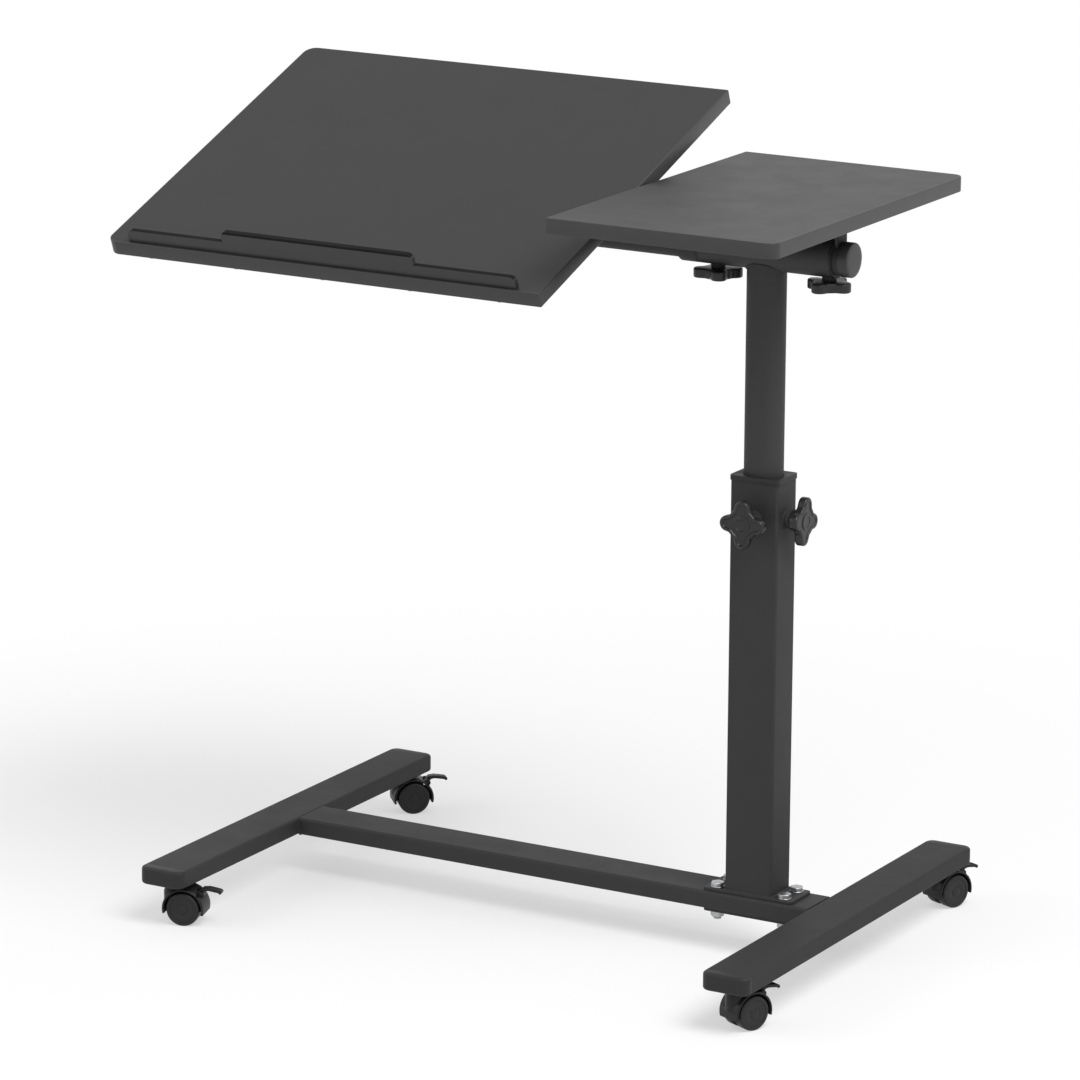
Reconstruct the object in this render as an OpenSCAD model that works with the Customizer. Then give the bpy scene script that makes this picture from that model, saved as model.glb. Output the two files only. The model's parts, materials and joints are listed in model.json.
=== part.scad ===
// Laptop side table: an H-shaped base on four swivel casters, a telescopic post held
// by two star knobs, and two boards on a shared cross sleeve, each tilting on its own rod.
// X runs along the base bar, Y from the user's side to the far side, Z up. Millimetres.

/* [Boards] */
// Depth of both boards, from the user's edge to the far edge
board_depth = 400; // [320:1:460]
// Thickness of both boards
board_t = 15; // [12:0.5:22]
// Width of the tilting laptop board
laptop_board_w = 490; // [380:1:600]
// Width of the level side board
side_board_w = 242; // [226:1:320]
// Distance from the post's centre to the side board's inner edge
side_board_reach = 130; // [90:1:144]
// Gap between the two boards
board_gap = 4; // [2:0.5:12]
// Radius of the boards' outer corners
board_corner_r = 12; // [4:1:40]
// Height of the side board's top above the floor, as drawn
board_height = 757; // [700:1:850]
// Tilt of the laptop board, as drawn
tilt = 20.3; // [0:0.1:45]

/* [Stop bar] */
// Distance from the laptop board's side edges to the stop bar's ends
stop_side_inset = 26; // [10:1:60]
// Length of its raised middle
stop_mid_len = 216; // [120:1:260]
// Height of its two ends above the board
stop_end_h = 12.5; // [10:0.5:20]
// Height of its raised middle above the board
stop_mid_h = 24; // [18:0.5:34]
// Thickness of the stop bar
stop_t = 5; // [4:0.5:8]
// Distance from the board's near edge to the stop bar
stop_inset = 3; // [3:0.5:20]
// Radius of the stop bar's rounded steps and ends
stop_r = 6; // [3:0.5:9]
// Number of screws up into the stop bar
stop_screws = 5; // [3:1:7]
// Distance from the stop bar's ends to its last screws
stop_screw_inset = 22; // [10:1:40]
// Diameter of the stop bar's screws
stop_screw_d = 3; // [2:0.5:3]

/* [Base] */
// Width of the flat tube of the feet and the bar
foot_w = 50; // [40:1:54]
// Height of the flat tube of the feet and the bar
foot_h = 18; // [14:0.5:25]
// Length of each foot with its end caps
foot_len = 490; // [400:1:560]
// Height of the underside of the feet above the floor
foot_clearance = 43; // [42:0.5:60]
// Distance from the post's centre to the left foot's centre
left_foot_reach = 543; // [450:1:600]
// Distance from the post's centre to the right foot's centre
right_foot_reach = 93; // [91:1:130]
// Wall of every steel tube in the base
tube_wall = 1.5; // [1:0.1:2.5]
// Outer corner radius of the flat tube
tube_corner_r = 3; // [2:0.1:5]
// Visible length of each foot's end cap
cap_len = 12; // [10:1:16]
// Corner radius of the end caps seen from above
cap_corner_r = 9; // [4:0.5:9]
// Length of the tongue inside the bar and inside the right foot
tongue_len = 24; // [18:1:26]
// Gap between the tongue's sides and the tube's walls
tongue_side_gap = 2.5; // [0.5:0.5:6]

/* [Post] */
// Width of the lower tube
post_w = 52; // [46:1:58]
// Depth of the lower tube
post_d = 40; // [36:1:50]
// Height of the collar's top above the floor
collar_top_z = 485; // [440:1:520]
// Thickness of the collar's flange
collar_flange_t = 5; // [2:0.5:6]
// How far the flange stands out past the tube
collar_lip = 1; // [0.5:0.5:3]
// Length of the collar's sleeve inside the lower tube
collar_sleeve_len = 55; // [46:1:80]
// Length of the plate under the lower tube
plate_len = 98; // [92:1:104]
// Width of the plate under the lower tube
plate_w = 44; // [40:1:48]
// Thickness of the plate and of the clamp plate under the bar
plate_t = 3; // [2:0.5:5]
// Distance between the base bolts along the bar
bolt_pitch_x = 74; // [70:1:80]
// Distance between the base bolts across the bar
bolt_pitch_y = 26; // [20:1:28]
// Diameter of the base bolts
bolt_d = 8; // [6:1:8]
// Height of the base bolts' heads
bolt_head_h = 5; // [3:0.5:7]
// Width of the bolt heads and nuts across flats
bolt_head_w = 12; // [10:0.5:13]

/* [Mast] */
// Width of the flat oval mast
mast_w = 40; // [36:0.5:42]
// Depth of the flat oval mast
mast_d = 30; // [26:0.5:31]
// How far the mast goes down from the drawn height
travel_down = 140; // [60:1:145]
// Length of the glide at the mast's foot
glide_len = 25; // [16:1:40]
// Thickness of the glide under the mast
glide_floor = 6; // [3:0.5:10]
// Length of the glide's plug inside the mast
glide_plug_len = 18; // [10:1:30]

/* [Cross sleeve and rods] */
// Distance from the rods' axis up to the boards' undersides
axis_drop = 37; // [34:0.5:44]
// Outer diameter of the cross sleeve
sleeve_d = 38; // [37:0.5:42]
// Wall of the cross sleeve
sleeve_wall = 1.5; // [1:0.1:1.7]
// Reach of the sleeve to the left of the post's centre
sleeve_left = 66; // [60:1:75]
// Reach of the sleeve to the right of the post's centre
sleeve_right = 74; // [74:1:84]
// Diameter of the two rods
rod_d = 32; // [30:0.5:32]
// Wall of the two rods
rod_wall = 2; // [1.5:0.1:4]
// Half the gap between the rods' inner ends
rod_inner_gap = 8; // [4:1:14]
// Thickness of the bushes' flanges
bush_flange_t = 2.5; // [1.5:0.5:4]
// Length of the laptop rod's stop collar
rod_collar_len = 21; // [12:1:30]
// Wall of the laptop rod's stop collar
rod_collar_wall = 3; // [2:0.5:4]
// How far the laptop rod goes past the outer bracket
rod_tail = 20; // [10:1:40]
// Reach of the side board's rod past the right bush
stub_reach = 14; // [13.5:0.5:28]
// Thickness of the rods' end caps
rod_cap_t = 3; // [2:0.5:5]
// Length of the side rod's end cap over the rod
stub_cap_len = 8; // [4:1:12]
// Wall of the side rod's end cap
stub_cap_wall = 1; // [0.6:0.1:2]
// Length of the laptop rod's end cap inside the rod
rod_plug_len = 18; // [8:1:25]

/* [Brackets] */
// Thickness of the bracket plates
bracket_t = 3; // [2:0.5:4]
// Distance from the laptop board's side edges to the middles of its brackets
bracket_inset = 95; // [70:1:130]
// Width of each laptop bracket along the rod
bracket_w = 36; // [30:1:50]
// Length of each laptop bracket across the board
bracket_len = 240; // [180:1:300]
// Ring wall of the bracket cheeks round the rod
bracket_ring = 5; // [3:0.5:8]
// Length of the bracket cheeks where they meet the plate
cheek_len = 96; // [60:1:140]
// Corner radius of the laptop brackets' plates
bracket_corner_r = 6; // [2:0.5:12]
// Distance from the laptop brackets' ends to their last screws
bracket_screw_inset = 16; // [10:1:30]
// Length of the side board's bracket along the rod
side_bracket_len = 140; // [110:1:150]
// Width of the side board's bracket across the board
side_bracket_w = 90; // [70:1:120]
// Distance from the side bracket's edges to its screws
side_screw_inset = 12; // [8:1:20]
// Thickness of the side bracket's saddle web
saddle_t = 3; // [3:0.5:5]
// Width of the side bracket's saddle web
saddle_w = 20; // [20:1:28]
// Gap between the right bush and the saddle web
saddle_gap = 0.5; // [0.5:0.5:2]
// Diameter of the wood screws
screw_d = 4; // [3:0.5:5]
// Depth of the wood screws in the boards
screw_depth = 11; // [7:0.5:11]
// Diameter of the screw heads
screw_head_d = 8; // [6.5:0.5:9]
// Height of the screw heads
screw_head_h = 2.4; // [1.5:0.1:3]

/* [Star knobs] */
// Diameter of the star knobs over their lobes
knob_d = 48; // [42:1:52]
// Number of lobes
knob_lobes = 4; // [4:1:7]
// Radius of each lobe's tip
lobe_r = 8; // [6:0.5:9]
// Thickness of the post's knobs
post_knob_t = 9; // [9:0.5:16]
// Thickness of the tilt knobs
tilt_knob_t = 9.5; // [8:0.5:14]
// Diameter of the knobs' hubs
knob_hub_d = 21; // [18:0.5:24]
// Length of the post knobs' hubs
knob_hub_len = 7; // [4:0.5:12]
// Diameter of the threaded studs
stud_d = 8; // [6:0.5:8]
// Diameter of the threaded bosses on the post
boss_d = 18; // [14:0.5:22]
// Length of the threaded boss on the post's front
front_boss_len = 10; // [6:0.5:14]
// Length of the threaded boss on the post's side
side_boss_len = 6; // [4:0.5:14]
// Distance from the collar's top down to the post's knobs
knob_drop = 42; // [32:0.5:45]
// Diameter of the bosses under the sleeve
head_boss_d = 14; // [12:0.5:16]
// How far the bosses stand below the sleeve
head_boss_h = 3; // [2:0.5:6]
// Distance of the left tilt knob from the post's centre
left_knob_x = 53; // [50:0.5:56]
// Distance of the right tilt knob from the post's centre
right_knob_x = 67; // [58:0.5:67]

/* [Casters] */
// Diameter of the caster wheels
wheel_d = 34; // [30:0.5:36]
// Width of each of the twin wheels
wheel_w = 11; // [8:0.5:13]
// Gap between the twin wheels
wheel_gap = 6.4; // [6:0.2:9]
// Distance from the swivel axis to the axle
caster_trail = 12; // [10:0.5:14]
// Radius of the hood over the wheels
hood_r = 21.5; // [21:0.1:22]
// Wall of the hood
hood_t = 2.2; // [1.6:0.1:2.6]
// How far the hood comes down below the axle
hood_drop = 5; // [4:0.5:8]
// Thickness of the web between the wheels
web_t = 5; // [3:0.5:5]
// Diameter of the caster's neck
neck_d = 18; // [14:0.5:20]
// Diameter of the caster's stem
stem_d = 8; // [6:0.5:9]
// Diameter of the axle
axle_d = 5; // [4:0.5:6]
// Distance of each caster from the foot's end
caster_inset = 27; // [25:1:60]
// Outer diameter of the caster sockets
socket_d = 14; // [12:0.5:18]
// Diameter of the sockets' flanges
socket_flange_d = 20; // [18:0.5:24]
// Width of the brake levers
lever_w = 9; // [6:0.5:9.5]
// Thickness of the brake levers
lever_t = 3; // [2:0.5:4]
// Reach of the brake levers from the swivel axis
lever_reach = 50; // [44:1:56]
// Swivel angle of the front left caster, as drawn
swivel_front_left = 17; // [-180:1:180]
// Swivel angle of the rear left caster, as drawn
swivel_rear_left = 42; // [-180:1:180]
// Swivel angle of the front right caster, as drawn
swivel_front_right = 66; // [-180:1:180]
// Swivel angle of the rear right caster, as drawn
swivel_rear_right = 68; // [-180:1:180]

/* [Fits] */
// Running gap between moving pieces
run_gap = 0.3; // [0.2:0.05:0.6]
// Radial clearance of a shaft or a thread in its hole
fit = 0.05; // [0.02:0.01:0.1]
// Radial clearance of the rods in their bushes
rod_fit = 0.07; // [0.02:0.01:0.1]
// Clearance of plugs inside tubes
plug_gap = 0.1; // [0.05:0.05:0.3]
// Radial clearance of through holes round bolts and studs
hole_gap = 0.3; // [0.2:0.05:0.6]

/* [Hidden] */
$fn = 64;
eps = 0.01;

// Heights
foot_bottom_z = foot_clearance;
foot_top_z = foot_bottom_z + foot_h;
post_bottom_z = foot_top_z + plate_t;
tube_top_z = collar_top_z - collar_flange_t;
knob_z = collar_top_z - knob_drop;
axis_z = board_height - board_t - axis_drop;
glide_bottom_z = post_bottom_z + run_gap + travel_down;
mast_bottom_z = glide_bottom_z + glide_floor;
washer_t = 1;
washer_d = bolt_head_w + 2;
bolt_tail = 3;
nut_bottom_z = foot_bottom_z - plate_t - washer_t - bolt_head_h;
bolt_end_z = nut_bottom_z - bolt_tail;

// Board edges along X, from the post's centre
side_x0 = -side_board_reach;
laptop_x1 = side_x0 - board_gap;
laptop_x0 = laptop_x1 - laptop_board_w;
laptop_mid_x = (laptop_x0 + laptop_x1) / 2;
inner_bracket_x = laptop_x1 - bracket_inset;
outer_bracket_x = laptop_x0 + bracket_inset;
stop_len = laptop_board_w - 2 * stop_side_inset;
stop_y = -board_depth / 2 + stop_inset + stop_t / 2;
stop_screw_len = board_t + stop_end_h - 4;

// The sleeve, its bushes and the rods
rod_r = rod_d / 2;
sleeve_r = sleeve_d / 2;
bush_r = sleeve_r - sleeve_wall;
left_flange_x = -sleeve_left - bush_flange_t;
right_flange_x = sleeve_right + bush_flange_t;
rod_collar_x = left_flange_x - run_gap;
rod_end_x = outer_bracket_x - bracket_w / 2 - rod_tail;
stub_end_x = right_flange_x + stub_reach;
saddle_x = right_flange_x + saddle_gap;
side_bracket_x0 = stub_end_x - side_bracket_len;
head_boss_z = -sleeve_r - head_boss_h;

// Feet and bar
left_foot_x = -left_foot_reach;
right_foot_x = right_foot_reach;
bar_x0 = left_foot_x + foot_w / 2;
bar_x1 = right_foot_x - foot_w / 2;
bar_inner_h = foot_h - 2 * tube_wall;
tongue_w = foot_w - 2 * (tube_wall + tongue_side_gap);
tongue_h = bar_inner_h - 2 * plug_gap;
plate_corner_r = 4;
plug_corner_r = 1;
tongue_screw_x = tongue_len / 2;
tongue_screw_y = tongue_w / 4;
tongue_screw_len = foot_h - tube_wall - 2;
cap_plug_len = caster_inset - cap_len - socket_d / 2 - run_gap;

// Casters: place along X, place along Y and swivel angle of each
wheel_r = wheel_d / 2;
caster_y = foot_len / 2 - caster_inset;
FRONT_LEFT = [left_foot_x, -caster_y, swivel_front_left];
REAR_LEFT = [left_foot_x, caster_y, swivel_rear_left];
FRONT_RIGHT = [right_foot_x, -caster_y, swivel_front_right];
REAR_RIGHT = [right_foot_x, caster_y, swivel_rear_right];
CASTERS = [FRONT_LEFT, REAR_LEFT, FRONT_RIGHT, REAR_RIGHT];
socket_flange_t = 1;
neck_top_z = foot_bottom_z - socket_flange_t - run_gap;
stem_seat = 2;
stem_bottom_z = wheel_r + hood_r - stem_seat;
stem_top_z = foot_top_z - tube_wall - 1;
hood_w = wheel_gap + 2 * wheel_w;
wheel_dish = 2;
lever_pivot_x = caster_trail + hood_r * cos(45);
lever_pivot_z = wheel_r + hood_r * sin(45);
lever_barrel_r = 2.5;
lever_cam_r = 3.5;
lever_cam_offset = 1.3;
lever_slot_r = lever_cam_r + lever_cam_offset + run_gap;
lever_pin_r = 1.2;
ear_r = 3.5;
ear_t = 2.5;
ear_inner = lever_w / 2 + 2 * run_gap;
lever_rise = 4;
lever_shelf = [5, 1];
lever_tip_drop = 2;

// The centre of the whole object's box over the floor
function caster_reach(c, axis) = let (a = c[2] - (axis == "y" ? 90 : 0))
    [caster_trail * cos(a) - hood_r * abs(cos(a)) - hood_w / 2 * abs(sin(a)),
     caster_trail * cos(a) + hood_r * abs(cos(a)) + hood_w / 2 * abs(sin(a)),
     (lever_reach - lever_t / 2) * cos(a) - lever_t / 2 * abs(cos(a)) - lever_w / 2 * abs(sin(a)),
     (lever_reach - lever_t / 2) * cos(a) + lever_t / 2 * abs(cos(a)) + lever_w / 2 * abs(sin(a))];
caster_x = [for (c = CASTERS, r = caster_reach(c, "x")) c[0] + r];
caster_ys = [for (c = CASTERS, r = caster_reach(c, "y")) c[1] + r];
board_low_y = -board_depth / 2 * cos(tilt) - (axis_drop + board_t) * sin(tilt);
x_low = min(concat([laptop_x0, left_foot_x - foot_w / 2], caster_x));
x_high = max(concat([side_x0 + side_board_w, right_foot_x + foot_w / 2], caster_x));
y_low = min(concat([-foot_len / 2, -board_depth / 2, board_low_y], caster_ys));
y_high = max(concat([foot_len / 2, board_depth / 2], caster_ys));
centre = [(x_low + x_high) / 2, (y_low + y_high) / 2, 0];

STEEL = [0.20, 0.20, 0.20];
BOARD = [0.27, 0.27, 0.28];
PLASTIC = [0.13, 0.13, 0.13];
ZINC = [0.72, 0.73, 0.74];
WHEEL = [0.22, 0.22, 0.22];

// Frames: the whole object, the rods' axis, the tilted board and one caster
module table() { translate(-centre) children(); }
module at_axis() { table() translate([0, 0, axis_z]) children(); }
module at_tilt() { at_axis() rotate([tilt, 0, 0]) children(); }
module at_caster(c) { table() translate([c[0], c[1], 0]) rotate(c[2]) children(); }
module at_axle() { translate([caster_trail, 0, wheel_r]) rotate([90, 0, 0]) children(); }
module at_lever() { translate([lever_pivot_x, 0, lever_pivot_z]) rotate([90, 0, 0]) children(); }

// Profiles
module rounded_rect(w, h, r) {
    square([w - 2 * r, h], center = true);
    square([w, h - 2 * r], center = true);
    for (sx = [-1, 1], sy = [-1, 1])
        translate([sx * (w / 2 - r), sy * (h / 2 - r)]) circle(r);
}

module flat_oval(w, d) {
    square([w - d, d], center = true);
    for (sx = [-1, 1]) translate([sx * (w - d) / 2, 0]) circle(d / 2);
}

// A strip from y = 0 to y = len whose two corners at the far end are round
module nose_profile(w, len, r) {
    translate([-w / 2, 0]) square([w, len - r]);
    translate([-w / 2 + r, 0]) square([w - 2 * r, len]);
    for (sx = [-1, 1]) translate([sx * (w / 2 - r), len - r]) circle(r);
}

module flat_tube_profile() {
    difference() {
        rounded_rect(foot_w, foot_h, tube_corner_r);
        rounded_rect(foot_w - 2 * tube_wall, bar_inner_h, tube_corner_r - tube_wall);
    }
}

// Solids laid along X, along Y, or round the rods' axis
module along_x(x0, x1) { translate([x0, 0, 0]) rotate([90, 0, 90]) linear_extrude(x1 - x0) children(); }
module along_y(len) { rotate([90, 0, 0]) linear_extrude(len, center = true) children(); }
module rod_x(x0, x1, r) { translate([x0, 0, 0]) rotate([0, 90, 0]) cylinder(r = r, h = x1 - x0); }
module ring_x(x0, x1, r, bore_r) {
    difference() {
        rod_x(x0, x1, r);
        rod_x(x0 - 1, x1 + 1, bore_r);
    }
}

// Base
module foot_tube() {
    translate([0, 0, foot_top_z - foot_h / 2]) along_y(foot_len - 2 * cap_len) flat_tube_profile();
}

module socket_holes(x) {
    for (sy = [-1, 1])
        translate([x, sy * caster_y, foot_bottom_z - 1]) cylinder(d = socket_d, h = tube_wall + 2);
}

module left_foot() {
    color(STEEL) table() difference() {
        translate([left_foot_x, 0, 0]) foot_tube();
        socket_holes(left_foot_x);
    }
}

module right_foot() {
    color(STEEL) table() difference() {
        translate([right_foot_x, 0, 0]) foot_tube();
        socket_holes(right_foot_x);
        tongue(plug_gap);
        tongue_screw_holes();
    }
}

module tongue(grow) {
    translate([bar_x1 - tongue_len, -tongue_w / 2 - grow, foot_top_z - foot_h / 2 - tongue_h / 2 - grow])
        cube([2 * tongue_len, tongue_w + 2 * grow, tongue_h + 2 * grow]);
}

module at_tongue_screws() {
    for (sx = [-1, 1], sy = [-1, 1])
        translate([bar_x1 + sx * tongue_screw_x, sy * tongue_screw_y, 0]) children();
}

module tongue_screw_holes() {
    at_tongue_screws() translate([0, 0, foot_bottom_z - 1])
        cylinder(d = screw_d + 2 * hole_gap, h = tube_wall + 2);
}

module base_bar() {
    color(STEEL) table() difference() {
        translate([0, 0, foot_top_z - foot_h / 2]) along_x(bar_x0, bar_x1) flat_tube_profile();
        at_bolts() translate([0, 0, foot_bottom_z - 1]) cylinder(d = bolt_d + 2 * hole_gap, h = foot_h + 2);
        tongue_screw_holes();
    }
}

module bar_tongue() {
    color(STEEL) table() difference() {
        tongue(0);
        at_tongue_screws() translate([0, 0, foot_bottom_z - 1]) cylinder(d = screw_d, h = tongue_screw_len);
    }
}

module tongue_screws() {
    color(ZINC) table() at_tongue_screws() {
        translate([0, 0, foot_bottom_z - screw_head_h]) cylinder(d = screw_head_d, h = screw_head_h);
        translate([0, 0, foot_bottom_z - 1]) cylinder(d = screw_d, h = tongue_screw_len);
    }
}

module end_cap() {
    translate([0, 0, foot_top_z - foot_h / 2]) {
        intersection() {
            translate([0, 0, -foot_h]) linear_extrude(2 * foot_h) nose_profile(foot_w, cap_len, cap_corner_r);
            rotate([90, 0, 90]) linear_extrude(2 * foot_w, center = true)
                rotate(-90) nose_profile(foot_h, cap_len, tube_corner_r);
            rotate([-90, 0, 0]) linear_extrude(cap_len) rounded_rect(foot_w, foot_h, tube_corner_r);
        }
        translate([0, -cap_plug_len, 0]) rotate([-90, 0, 0]) linear_extrude(cap_plug_len + eps)
            rounded_rect(foot_w - 2 * (tube_wall + plug_gap), bar_inner_h - 2 * plug_gap, plug_corner_r);
    }
}

module foot_end_caps() {
    color(PLASTIC) table() for (x = [left_foot_x, right_foot_x], turn = [0, 180])
        translate([x, 0, 0]) rotate(turn) translate([0, foot_len / 2 - cap_len, 0]) end_cap();
}

module caster_sockets() {
    color(ZINC) table() for (c = CASTERS) translate([c[0], c[1], 0]) difference() {
        union() {
            translate([0, 0, foot_bottom_z - socket_flange_t])
                cylinder(d = socket_flange_d, h = socket_flange_t);
            translate([0, 0, foot_bottom_z - socket_flange_t])
                cylinder(d = socket_d, h = foot_h + socket_flange_t - tube_wall);
        }
        translate([0, 0, foot_bottom_z - 2]) cylinder(d = stem_d + 2 * fit, h = foot_h);
    }
}

module at_bolts() {
    for (sx = [-1, 1], sy = [-1, 1])
        translate([sx * bolt_pitch_x / 2, sy * bolt_pitch_y / 2, 0]) children();
}

module bolt_plate(z) {
    difference() {
        translate([0, 0, z]) linear_extrude(plate_t) rounded_rect(plate_len, plate_w, plate_corner_r);
        at_bolts() translate([0, 0, z - 1]) cylinder(d = bolt_d + 2 * hole_gap, h = plate_t + 2);
    }
}

module post_plate() { color(STEEL) table() bolt_plate(foot_top_z); }

module clamp_plate() { color(STEEL) table() bolt_plate(foot_bottom_z - plate_t); }

module hex(h) { cylinder(d = bolt_head_w / cos(30), h = h, $fn = 6); }

module post_bolts() {
    color(ZINC) table() at_bolts() {
        translate([0, 0, post_bottom_z]) cylinder(d = washer_d, h = washer_t);
        translate([0, 0, post_bottom_z + washer_t]) hex(bolt_head_h - washer_t);
        translate([0, 0, bolt_end_z]) cylinder(d = bolt_d, h = post_bottom_z - bolt_end_z + washer_t);
    }
}

module post_nuts() {
    color(ZINC) table() at_bolts() translate([0, 0, nut_bottom_z]) difference() {
        union() {
            hex(bolt_head_h);
            translate([0, 0, bolt_head_h]) cylinder(d = washer_d, h = washer_t);
        }
        translate([0, 0, -1]) cylinder(d = bolt_d, h = bolt_head_h + washer_t + 2);
    }
}

// Post
module stud_holes(d) {
    translate([0, 0, knob_z]) rotate([90, 0, 0]) cylinder(d = d, h = post_d);
    translate([0, 0, knob_z]) rotate([0, 90, 0]) cylinder(d = d, h = post_w);
}

module post_tube() {
    color(STEEL) table() difference() {
        translate([0, 0, post_bottom_z]) linear_extrude(tube_top_z - post_bottom_z) difference() {
            rounded_rect(post_w, post_d, tube_corner_r);
            rounded_rect(post_w - 2 * tube_wall, post_d - 2 * tube_wall, tube_corner_r - tube_wall);
        }
        stud_holes(stud_d + 2 * hole_gap);
    }
}

module collar_bush() {
    color(PLASTIC) table() difference() {
        union() {
            translate([0, 0, tube_top_z]) linear_extrude(collar_flange_t)
                rounded_rect(post_w + 2 * collar_lip, post_d + 2 * collar_lip, tube_corner_r + collar_lip);
            translate([0, 0, tube_top_z - collar_sleeve_len]) linear_extrude(collar_sleeve_len)
                rounded_rect(post_w - 2 * tube_wall, post_d - 2 * tube_wall, tube_corner_r - tube_wall);
        }
        translate([0, 0, tube_top_z - collar_sleeve_len - 1])
            linear_extrude(collar_sleeve_len + collar_flange_t + 2)
            flat_oval(mast_w + 2 * run_gap, mast_d + 2 * run_gap);
        stud_holes(stud_d + 2 * hole_gap);
    }
}

// A threaded boss or a knob's stud stands out along +Z from z = 0
module boss(d, len) {
    difference() {
        cylinder(d = d, h = len);
        translate([0, 0, -1]) cylinder(d = stud_d + 2 * fit, h = len + 2);
    }
}

module on_front_face() { translate([0, -post_d / 2, knob_z]) rotate([90, 0, 0]) children(); }
module on_side_face() { translate([post_w / 2, 0, knob_z]) rotate([0, 90, 0]) children(); }

module front_boss() { color(STEEL) table() on_front_face() boss(boss_d, front_boss_len); }
module side_boss() { color(STEEL) table() on_side_face() boss(boss_d, side_boss_len); }

// Mast
module mast_profile() {
    difference() {
        flat_oval(mast_w, mast_d);
        flat_oval(mast_w - 2 * tube_wall, mast_d - 2 * tube_wall);
    }
}

module mast_tube() {
    color(STEEL) table() difference() {
        translate([0, 0, mast_bottom_z]) linear_extrude(axis_z - mast_bottom_z) mast_profile();
        translate([0, 0, axis_z]) rod_x(-mast_w, mast_w, sleeve_r);
    }
}

module mast_glide() {
    glide_w = post_w - 2 * tube_wall - 2 * run_gap;
    glide_d = post_d - 2 * tube_wall - 2 * run_gap;
    color(PLASTIC) table() {
        difference() {
            translate([0, 0, glide_bottom_z]) linear_extrude(glide_len) rounded_rect(glide_w, glide_d, 3);
            translate([0, 0, mast_bottom_z]) linear_extrude(glide_len) flat_oval(mast_w, mast_d);
        }
        translate([0, 0, mast_bottom_z - eps]) linear_extrude(glide_plug_len)
            flat_oval(mast_w - 2 * (tube_wall + plug_gap), mast_d - 2 * (tube_wall + plug_gap));
    }
}

module head_stud_holes(d) {
    for (x = [-left_knob_x, right_knob_x])
        translate([x, 0, -sleeve_d]) cylinder(d = d, h = sleeve_d);
}

module head_sleeve() {
    color(STEEL) at_axis() difference() {
        ring_x(-sleeve_left, sleeve_right, sleeve_r, bush_r);
        head_stud_holes(stud_d + 2 * hole_gap);
    }
}

module head_bush(x_inner, x_end, x_flange) {
    difference() {
        union() {
            rod_x(min(x_inner, x_end), max(x_inner, x_end), bush_r);
            rod_x(min(x_end, x_flange), max(x_end, x_flange), sleeve_r);
        }
        rod_x(min(x_inner, x_flange) - 1, max(x_inner, x_flange) + 1, rod_r + rod_fit);
        head_stud_holes(stud_d + 2 * hole_gap);
    }
}

module left_head_bush() { color(PLASTIC) at_axis() head_bush(-rod_inner_gap, -sleeve_left, left_flange_x); }
module right_head_bush() { color(PLASTIC) at_axis() head_bush(rod_inner_gap, sleeve_right, right_flange_x); }

module head_bosses() {
    color(STEEL) at_axis() for (x = [-left_knob_x, right_knob_x]) difference() {
        translate([x, 0, head_boss_z]) cylinder(d = head_boss_d, h = head_boss_h + head_boss_d / 4);
        rod_x(-sleeve_left - head_boss_d, sleeve_right + head_boss_d, sleeve_r);
        translate([x, 0, head_boss_z - 1]) cylinder(d = stud_d + 2 * fit, h = sleeve_r);
    }
}

// Laptop board. Its own frame has the rods' axis along X at z = 0, and the board above it
module board_blank(x0, x1, round_left) {
    r = board_corner_r;
    y = board_depth / 2;
    round_x = round_left ? x0 + r : x1 - r;
    square_x0 = round_left ? x0 + r : x0;
    square_x1 = round_left ? x1 : x1 - r;
    translate([0, 0, axis_drop]) linear_extrude(board_t) {
        translate([square_x0, -y]) square([square_x1 - square_x0, 2 * y]);
        translate([x0, -y + r]) square([x1 - x0, 2 * (y - r)]);
        for (sy = [-1, 1]) translate([round_x, sy * (y - r)]) circle(r);
    }
}

function stop_screw_x(i) = laptop_mid_x + (stop_len - 2 * stop_screw_inset) * (i / (stop_screws - 1) - 0.5);

module at_stop_screws() {
    for (i = [0:stop_screws - 1]) translate([stop_screw_x(i), stop_y, axis_drop]) children();
}

module at_bracket_screws() {
    for (x = [outer_bracket_x, inner_bracket_x], sy = [-1, 1], k = [0.5, 1])
        translate([x, sy * k * (bracket_len / 2 - bracket_screw_inset), axis_drop]) children();
}

module laptop_panel() {
    color(BOARD) at_tilt() difference() {
        board_blank(laptop_x0, laptop_x1, true);
        at_bracket_screws() translate([0, 0, -1]) cylinder(d = screw_d, h = screw_depth + 1);
        at_stop_screws() translate([0, 0, -1]) cylinder(d = stop_screw_d + 2 * hole_gap, h = board_t + 2);
    }
}

module tilt_rod() { color(STEEL) at_tilt() ring_x(rod_end_x, -rod_inner_gap, rod_r, rod_r - rod_wall); }

module rod_collar() {
    color(STEEL) at_tilt()
        ring_x(rod_collar_x - rod_collar_len, rod_collar_x, rod_r + rod_collar_wall, rod_r);
}

module screw_hole() {
    translate([0, 0, -bracket_t - 1]) cylinder(d = screw_d + 2 * hole_gap, h = bracket_t + 2);
}

// A plate under the board and two cheeks that ring the rod
module panel_bracket(x) {
    plate_z = axis_drop - bracket_t;
    cheek_half = cheek_len / 2;
    ring_r = rod_r + bracket_ring;
    difference() {
        union() {
            translate([x, 0, plate_z]) linear_extrude(bracket_t)
                rounded_rect(bracket_w, bracket_len, bracket_corner_r);
            for (cheek_x = [x - bracket_w / 2, x + bracket_w / 2 - bracket_t])
                along_x(cheek_x, cheek_x + bracket_t) {
                    polygon([[-cheek_half, plate_z + eps], [-ring_r, 0],
                        [ring_r, 0], [cheek_half, plate_z + eps]]);
                    circle(ring_r);
                }
        }
        rod_x(x - bracket_w, x + bracket_w, rod_r);
        at_bracket_screws() screw_hole();
    }
}

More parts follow.
